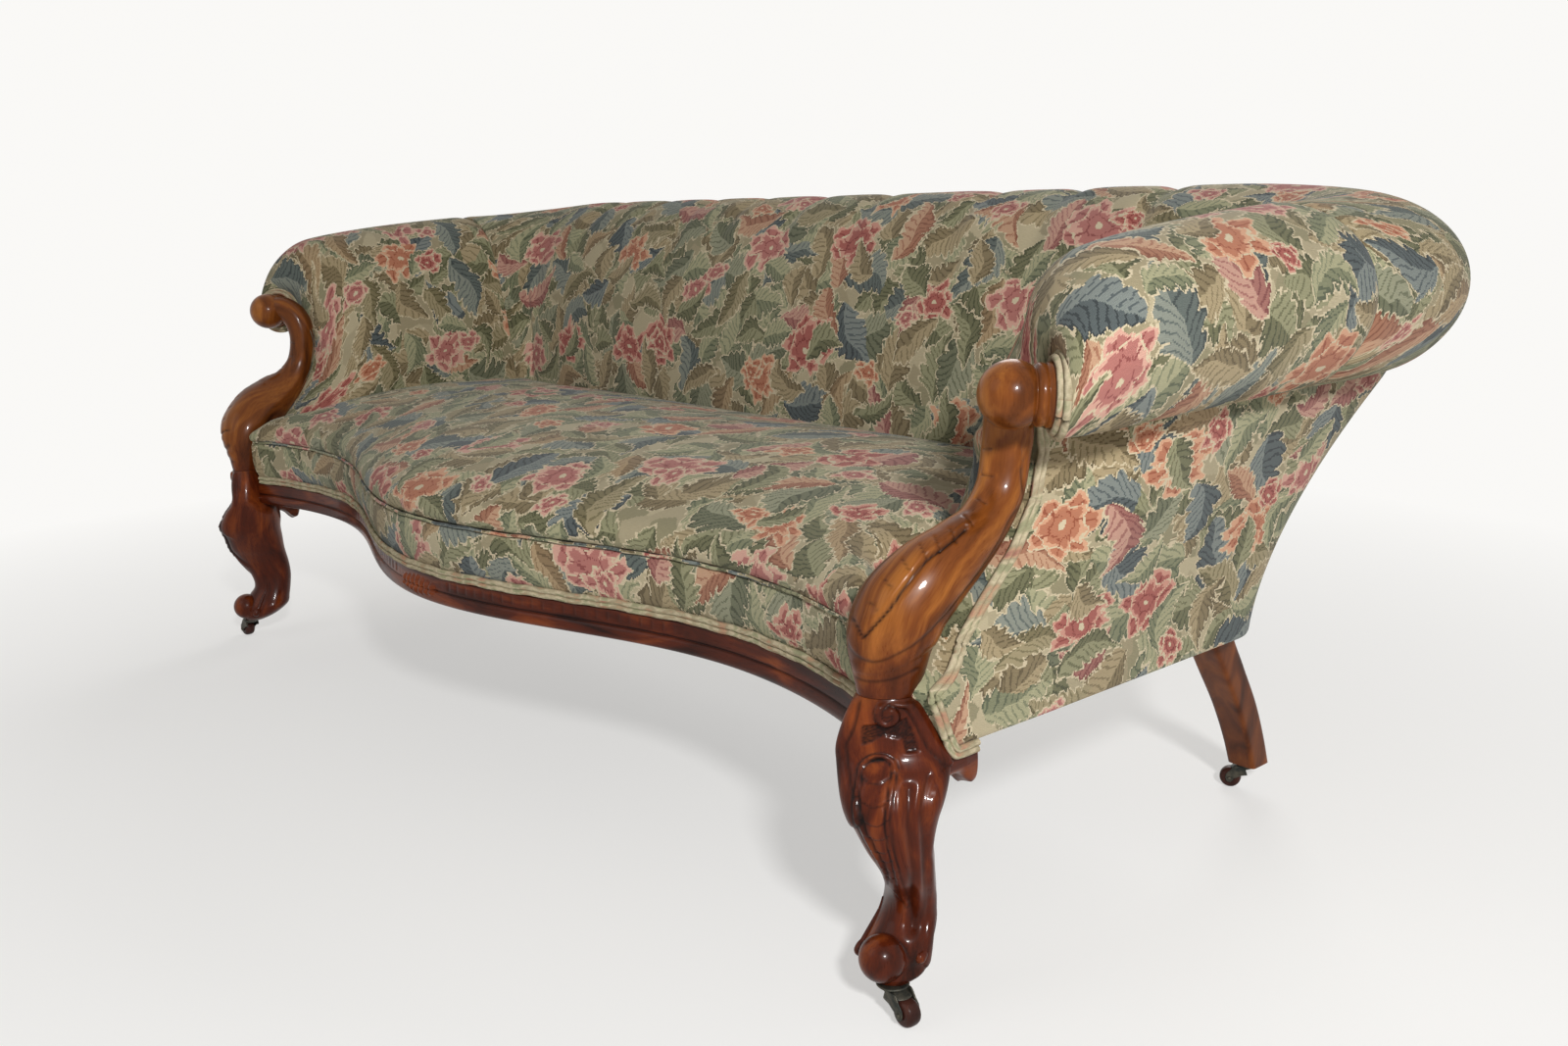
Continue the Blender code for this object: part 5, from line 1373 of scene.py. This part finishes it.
# The rail's moulding: depth behind its front line and height
RAIL_BEAD = ((0.014, 0.2542), (0.007, 0.2543), (0.0025, 0.256), (0.0003, 0.260), (0.000, 0.265),
             (0.0016, 0.2695), (0.0044, 0.2718), (0.0052, 0.2722))
RAIL_STRIP = ((0.004, 0.2726), (0.0036, 0.274), (0.0038, 0.286), (0.0042, 0.290), (0.0056, 0.2916),
              (0.009, 0.292))
RAIL_BACK = ((0.0295, 0.292), (0.0295, 0.2542))
GOUGE_STEP = 0.0165


def rail():
    """The serpentine rail: a flat strip over a bead, with gouge cuts and a small carved centre."""
    depth, height = np.concatenate((spline(RAIL_BEAD, 20), spline(RAIL_STRIP, 20), RAIL_BACK)).T
    face = depth < 0.02
    x = np.linspace(-rail_high.x, rail_high.x, 560)
    base = np.stack((x, serpentine(x)), axis=1)
    normal = unit(np.stack((np.gradient(base[:, 1], x), -np.ones(len(x))), axis=1))
    far = lengths(base)
    far -= far[len(far) // 2]
    tick = np.abs((np.abs(far) / GOUGE_STEP) % 1.0 - 0.5) * GOUGE_STEP
    reach = smooth((np.abs(far) - 0.055) / 0.01) * (1.0 - smooth((np.abs(far) - 0.42) / 0.05))
    strip = smooth((height - 0.2755) / 0.002) * (1.0 - smooth((height - 0.2865) / 0.002)) * face
    gouge = np.outer(cut(tick, 0.0016) * reach, strip)
    petal = np.zeros(gouge.shape)
    for k in range(-3, 4):
        tall = 0.0125 - 0.0016 * abs(k)
        radius = np.hypot((far[:, None] - 0.0125 * k) / 0.0062, (height - 0.2735) / tall)
        petal = np.maximum(petal, bead(radius, 1.0))
    out = 0.0052 * petal * face - 0.0012 * gouge
    plan = base[:, None] - normal[:, None] * (depth - out)[..., None]
    points = grid_points(plan[..., 0], plan[..., 1], height)
    grain = grid_points(depth, height, far[:, None])
    # Painted shade in the gouge cuts and along the groove over the bead, but not on the petals
    groove = cut(height - 0.2724, 0.0012) * face
    recess_shade = np.clip(gouge * 0.35 + groove * 0.8 * (1.0 - petal), 0.0, 1.0)
    wooden_piece("carved_rail", points, grain, WALNUT, "front_rail", recess_shade=recess_shade)


# Lower line of an ear: share of its length and drop
EAR_DROP = ((0.0, 0.030), (0.25, 0.028), (0.45, 0.029), (0.56, 0.033), (0.66, 0.040), (0.78, 0.0455),
            (0.90, 0.042), (0.97, 0.030), (1.0, 0.016))


def ears():
    """The scrolled bracket behind each knee."""
    low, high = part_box("leg_ear_right")
    y = np.linspace(low.y - 0.014, high.y, 60)[:, None]
    t = (y - y[0]) / (y[-1] - y[0])
    drop = np.interp(t, *spline(EAR_DROP, 80).T)
    narrow = np.interp(t, (0.0, 0.55, 0.85, 1.0), (1.0, 0.92, 0.80, 0.45))
    angle = circle(56)
    c, s = squared(angle, 3.0)
    middle = (low.x + high.x) / 2.0
    half = (high.x - low.x) / 2.0
    x = middle + half * narrow * c
    leaf = np.abs(np.sin((x - middle) / half * np.pi * 1.5)) ** 0.7
    leafy = smooth((t - 0.35) / 0.2)
    z = high.z - drop * (0.5 - 0.5 * s) + 0.0026 * (leaf - 0.5) * (np.sin(angle) < 0.2) * leafy
    points = grid_points(x, y, z)
    # Painted shade in the dips between the leaf lobes, towards the ear's end
    recess_shade = np.clip(0.35 - leaf, 0.0, 1.0) * 1.6 * leafy
    for label, side in SIDES:
        wooden_piece(f"carved_ear_{label}", points, points[..., [0, 2, 1]], WALNUT, f"leg_ear_{label}",
                     side=side, recess_shade=recess_shade)


# A rear leg: place aside, depth, height and half width
REAR_STATIONS = ((0.768, 0.712, FOOT_Z, 0.019), (0.7695, 0.694, 0.075, 0.0195),
                 (0.7725, 0.662, 0.130, 0.0205), (0.7765, 0.615, 0.195, 0.0215),
                 (0.780, 0.580, 0.245, 0.022), (0.780, 0.572, 0.290, 0.022), (0.780, 0.572, FRAME_TOP, 0.022))


def rear_legs():
    """Square sabre legs with eased edges."""
    x, depth, height, half = spline(REAR_STATIONS, 60).T[..., None]
    c, s = squared(circle(64) + np.pi / 64.0, 9.0)
    points = grid_points(x + half * c, FRONT_Y + depth + half * s, height)
    for label, side in SIDES:
        wooden_piece(f"sabre_leg_{label}", points, points, STAINED, f"rear_leg_{label}", side=side)


# Castors: which way each trails at rest, in degrees, then profiles by distance along the axis and radius

HEADINGS = {"front_right": -5.0, "front_left": 185.0, "rear_right": 205.0, "rear_left": -25.0}
TRAIL = 0.021
CUP = ((0.0, 0.0001), (0.0, 0.0110), (0.0004, 0.0150), (0.0014, 0.0160), (0.0024, 0.0156), (0.0030, 0.0140),
       (0.0030, 0.0001))
PIN_HALF = ((0.0114, 0.0022), (0.0120, 0.0030), (0.0128, 0.0020), (0.0128, 0.0001))
TREAD_HALF = ((0.0032, 0.0133), (0.0060, 0.0124), (0.0078, 0.0104), (0.0085, 0.0076), (0.0084, 0.0026))


def both_ways(half):
    """A profile mirrored about its middle."""
    return tuple((-far, radius) for far, radius in half[::-1]) + tuple(half)


def castors():
    tread = both_ways(TREAD_HALF)
    tread = spline((*tread[:5], (0.0, WHEEL_RADIUS), *tread[5:]), 40)
    for label, degrees in HEADINGS.items():
        low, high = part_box(f"castor_plate_{label}")
        swivel = np.array(((low.x + high.x) / 2.0, (low.y + high.y) / 2.0, 0.0))
        heading = math.radians(degrees)
        ahead = np.array((math.cos(heading), math.sin(heading), 0.0))
        across = np.array((-ahead[1], ahead[0], 0.0))
        axle = swivel + ahead * TRAIL + UP * WHEEL_RADIUS
        turned(f"castor_cup_{label}", CUP, swivel + UP * (FOOT_Z - 0.0033), UP, BRASS,
               f"castor_plate_{label}")
        horn = new_object(f"castor_horn_{label}", horn_mesh(swivel, ahead, across), BRASS)
        dress(horn, f"castor_fork_{label}", body=f"castor_{label}")
        turned(f"castor_pin_{label}", both_ways(PIN_HALF), axle, across, BRASS, f"castor_axle_{label}",
               sides=24, body=f"castor_{label}")
        turned(f"castor_roller_{label}", tread, axle, across, LIGNUM, f"castor_wheel_{label}",
               sides=48, body=f"wheel_{label}")


def horn_mesh(swivel, ahead, across):
    """A cast horn: a boss under the plate that splits into two cheeks down to the axle."""
    top = FOOT_Z - 0.0036
    axes = np.array((ahead, across, UP))
    angle = circle(28)
    boss = spline(((0.000, top, 0.0115, 0.0108), (0.002, top - 0.0015, 0.0120, 0.0114),
                   (0.006, top - 0.0035, 0.0125, 0.0118), (0.010, top - 0.0052, 0.0115, 0.0117),
                   (0.012, top - 0.0058, 0.0080, 0.0104)), 12)
    along, z, half_long, half_wide = boss.T[..., None]
    places = grid_points(along + half_long * np.cos(angle), half_wide * np.sin(angle), z)
    meshes = [grid_mesh("boss", swivel + places @ axes)]
    spine = spline(((0.002, top - 0.003, 0.0085), (0.010, top - 0.006, 0.0080), (0.0165, top - 0.012, 0.0062),
                    (0.0205, WHEEL_RADIUS + 0.004, 0.0052), (TRAIL, WHEEL_RADIUS, 0.0050),
                    (TRAIL + 0.0005, WHEEL_RADIUS - 0.0042, 0.0026)), 26)
    travel = unit(np.gradient(spine[:, :2], axis=0))
    along, z, half = spine.T[..., None]
    c, s = squared(angle, 3.0)
    reach = half * c
    for hand in (-1.0, 1.0):
        # The cheeks' tops end level under the plate
        height = np.minimum(z + travel[:, :1] * reach, top)
        places = grid_points(along - travel[:, 1:] * reach, hand * 0.0104 + 0.0014 * s, height)
        meshes.append(grid_mesh("cheek", swivel + places @ axes))
    return joined("horn", meshes)


# Under the seat

CLOTH_REAR = 0.585
WEB_LEVEL = 0.2607
WEB_HALF_WIDTH = 0.025
WEB_HALF_THICK = 0.0004
WEB_PITCH = 0.20
WEB_END = 0.825


def tacked_sheet(name, material, node, half, gap, rear, level, counts, sag=0.0, pucker=0.0,
                 facing_down=False):
    """A sheet stretched from just behind the front rail to a depth; it may sag, and pucker at its tacks."""
    x = np.linspace(-half, half, counts[0])[:, None]
    t = np.linspace(0.0, 1.0, counts[1])[None]
    front = serpentine(x) + RAIL_DEPTH + gap
    loose = np.sin(np.pi * t)
    drop = sag * loose * np.cos(np.pi * x / (2.0 * half)) - pucker * np.sin(x * 90.0) * (1.0 - loose) ** 2
    points = grid_points(x, lerp(front, FRONT_Y + rear, t), level - drop)
    if facing_down:
        points = points[:, ::-1]
    made = new_object(name, grid_mesh(name, points, wrap=False, caps=(False, False)), material)
    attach(made, "frame")
    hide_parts(node)
    slot_of(material)


def strap(start, end, phase):
    """One strip of webbing between two places in plan, that passes over and under the others."""
    start = np.array((start[0], FRONT_Y + start[1], 0.0))
    along = np.array((end[0], FRONT_Y + end[1], 0.0)) - start
    length = np.linalg.norm(along)
    t = np.linspace(0.0, 1.0, max(int(length / 0.012), 2))
    path = start + along * t[:, None]
    across = unit(np.array((-along[1], along[0], 0.0))) * WEB_HALF_WIDTH
    weave = WEB_HALF_THICK * np.cos(2.0 * np.pi * length * t / WEB_PITCH + phase)
    level = WEB_LEVEL + weave
    points = [path + across * aside + UP * (level + WEB_HALF_THICK * lift)[:, None]
              for aside, lift in ((-1.0, 1.0), (1.0, 1.0), (1.0, -1.0), (-1.0, -1.0))]
    return grid_mesh("strap", np.stack(points, axis=1))


def under_seat():
    tacked_sheet("dust_cloth", BLACK_CLOTH, "bottom_cloth", half=0.756, gap=0.004, rear=CLOTH_REAR,
                 level=0.2585, counts=(84, 34), sag=0.0035, pucker=0.0005, facing_down=True)
    tacked_sheet("spring_hessian", HESSIAN, "seat_hessian", half=0.7165, gap=0.002, rear=0.548,
                 level=0.3648, counts=(60, 24))
    straps = [strap((x, 0.094), (x, CLOTH_REAR), 0.0) for x in np.linspace(-0.640, 0.640, 9)]
    straps += [strap((-WEB_END, depth), (WEB_END, depth), np.pi) for depth in (0.200, 0.300, 0.400)]
    dress(new_object("web_straps", joined("web_straps", straps), JUTE), "seat_webbing", slot="webbing")


# Studio

WHITE = (0.955, 0.945, 0.925, 1.0)
# Lamps: place, what they point at, size and power
LAMPS = {"key": ((2.7, -1.5, 1.75), (0.4, 0.0, 0.45), 0.3, 72.0),
         "fill": ((-0.6, -3.2, 2.4), (0.0, 0.0, 0.4), 2.4, 11.0),
         "back": ((-1.6, 3.0, 2.6), (0.0, 0.0, 0.4), 2.4, 50.0)}


def white_where_seen(tree, surface, white, target, share=1.0):
    """White for rays from the camera and from shiny or clear things, and the real surface for light."""
    rays = tree.nodes.new("ShaderNodeLightPath")
    shown = Number(tree, rays.outputs["Is Camera Ray"])
    for kind in ("Is Glossy Ray", "Is Transmission Ray"):
        shown = shown.calc("MAXIMUM", Number(tree, rays.outputs[kind]))
    shown = shown * share
    white.inputs["Color"].default_value = WHITE
    white.inputs["Strength"].default_value = 1.0
    mixer = tree.nodes.new("ShaderNodeMixShader")
    for place, socket in zip(mixer.inputs, (shown.socket, surface.outputs[0], white.outputs[0])):
        tree.links.new(socket, place)
    tree.links.new(mixer.outputs[0], target.inputs["Surface"])


def camera():
    data = bpy.data.cameras.new("camera")
    data.lens = 31.42
    data.sensor_width = 36.0
    data.sensor_fit = "HORIZONTAL"
    made = bpy.data.objects.new("camera", data)
    scene.collection.objects.link(made)
    yaw, pitch, roll = (math.radians(angle) for angle in (-49.363, -12.78, -1.0))
    look = Vector((math.sin(yaw) * math.cos(pitch), math.cos(yaw) * math.cos(pitch), math.sin(pitch)))
    level = look.cross(Vector((0.0, 0.0, 1.0))).normalized()
    rise = level.cross(look)
    right = level * math.cos(roll) + rise * math.sin(roll)
    top = rise * math.cos(roll) - level * math.sin(roll)
    turn = Matrix((right, top, -look)).transposed()
    made.matrix_world = Matrix.Translation(CAMERA_PLACE) @ turn.to_4x4()
    scene.camera = made


def lamp(name, place, target, size, power):
    light = bpy.data.lights.new(name, "AREA")
    light.shape = "DISK"
    light.size = size
    light.energy = power
    made = bpy.data.objects.new(name, light)
    made.location = place
    made.rotation_euler = (Vector(target) - Vector(place)).to_track_quat("-Z", "Y").to_euler()
    scene.collection.objects.link(made)


def world():
    made = bpy.data.worlds.new("studio")
    scene.world = made
    made.use_nodes = True
    nodes = made.node_tree.nodes
    shade = nodes["Background"]
    shade.inputs["Color"].default_value = (1.0, 0.985, 0.96, 1.0)
    shade.inputs["Strength"].default_value = 0.20
    white_where_seen(made.node_tree, shade, nodes.new("ShaderNodeBackground"), nodes["World Output"])


def floor_material():
    """Pale floor that fades into the white background away from the sofa."""
    t = Tree("floor")
    x, y, _ = t.split(t.add("ShaderNodeTexCoord").outputs["Object"])
    far = 0.52 + (x * x + y * y).calc("SQRT").fade(0.9, 2.2) * 0.48
    white_where_seen(t.tree, t.shader, t.add("ShaderNodeEmission"), t.tree.nodes["Material Output"], far)
    return t.set(Base_Color=(0.93, 0.925, 0.91, 1.0), Roughness=0.75, Specular_IOR_Level=0.2)


def studio():
    camera()
    for name, settings in LAMPS.items():
        lamp(name, *settings)
    world()
    reach = 30.0
    mesh = bpy.data.meshes.new("floor")
    corners = ((-reach, -reach), (reach, -reach), (reach, reach), (-reach, reach))
    mesh.from_pydata([(x, y, -0.0004) for x, y in corners], [], [(0, 1, 2, 3)])
    new_object("floor", mesh, floor_material())


def finishes():
    """Materials for the CAD nodes that stay as they are."""
    for name, made in frame["nodes"].items():
        made.data.materials.clear()
        made.data.materials.append(STEEL if name == "seat_springs" else BEECH)


studio()
finishes()
for label, side in SIDES:
    arm_cover(label, side)
back_cover()
seat_cover()
seat_band()
outside_covers()
piping()
show_wood()
rail()
ears()
rear_legs()
castors()
under_seat()
scene.view_settings.view_transform = "Standard"
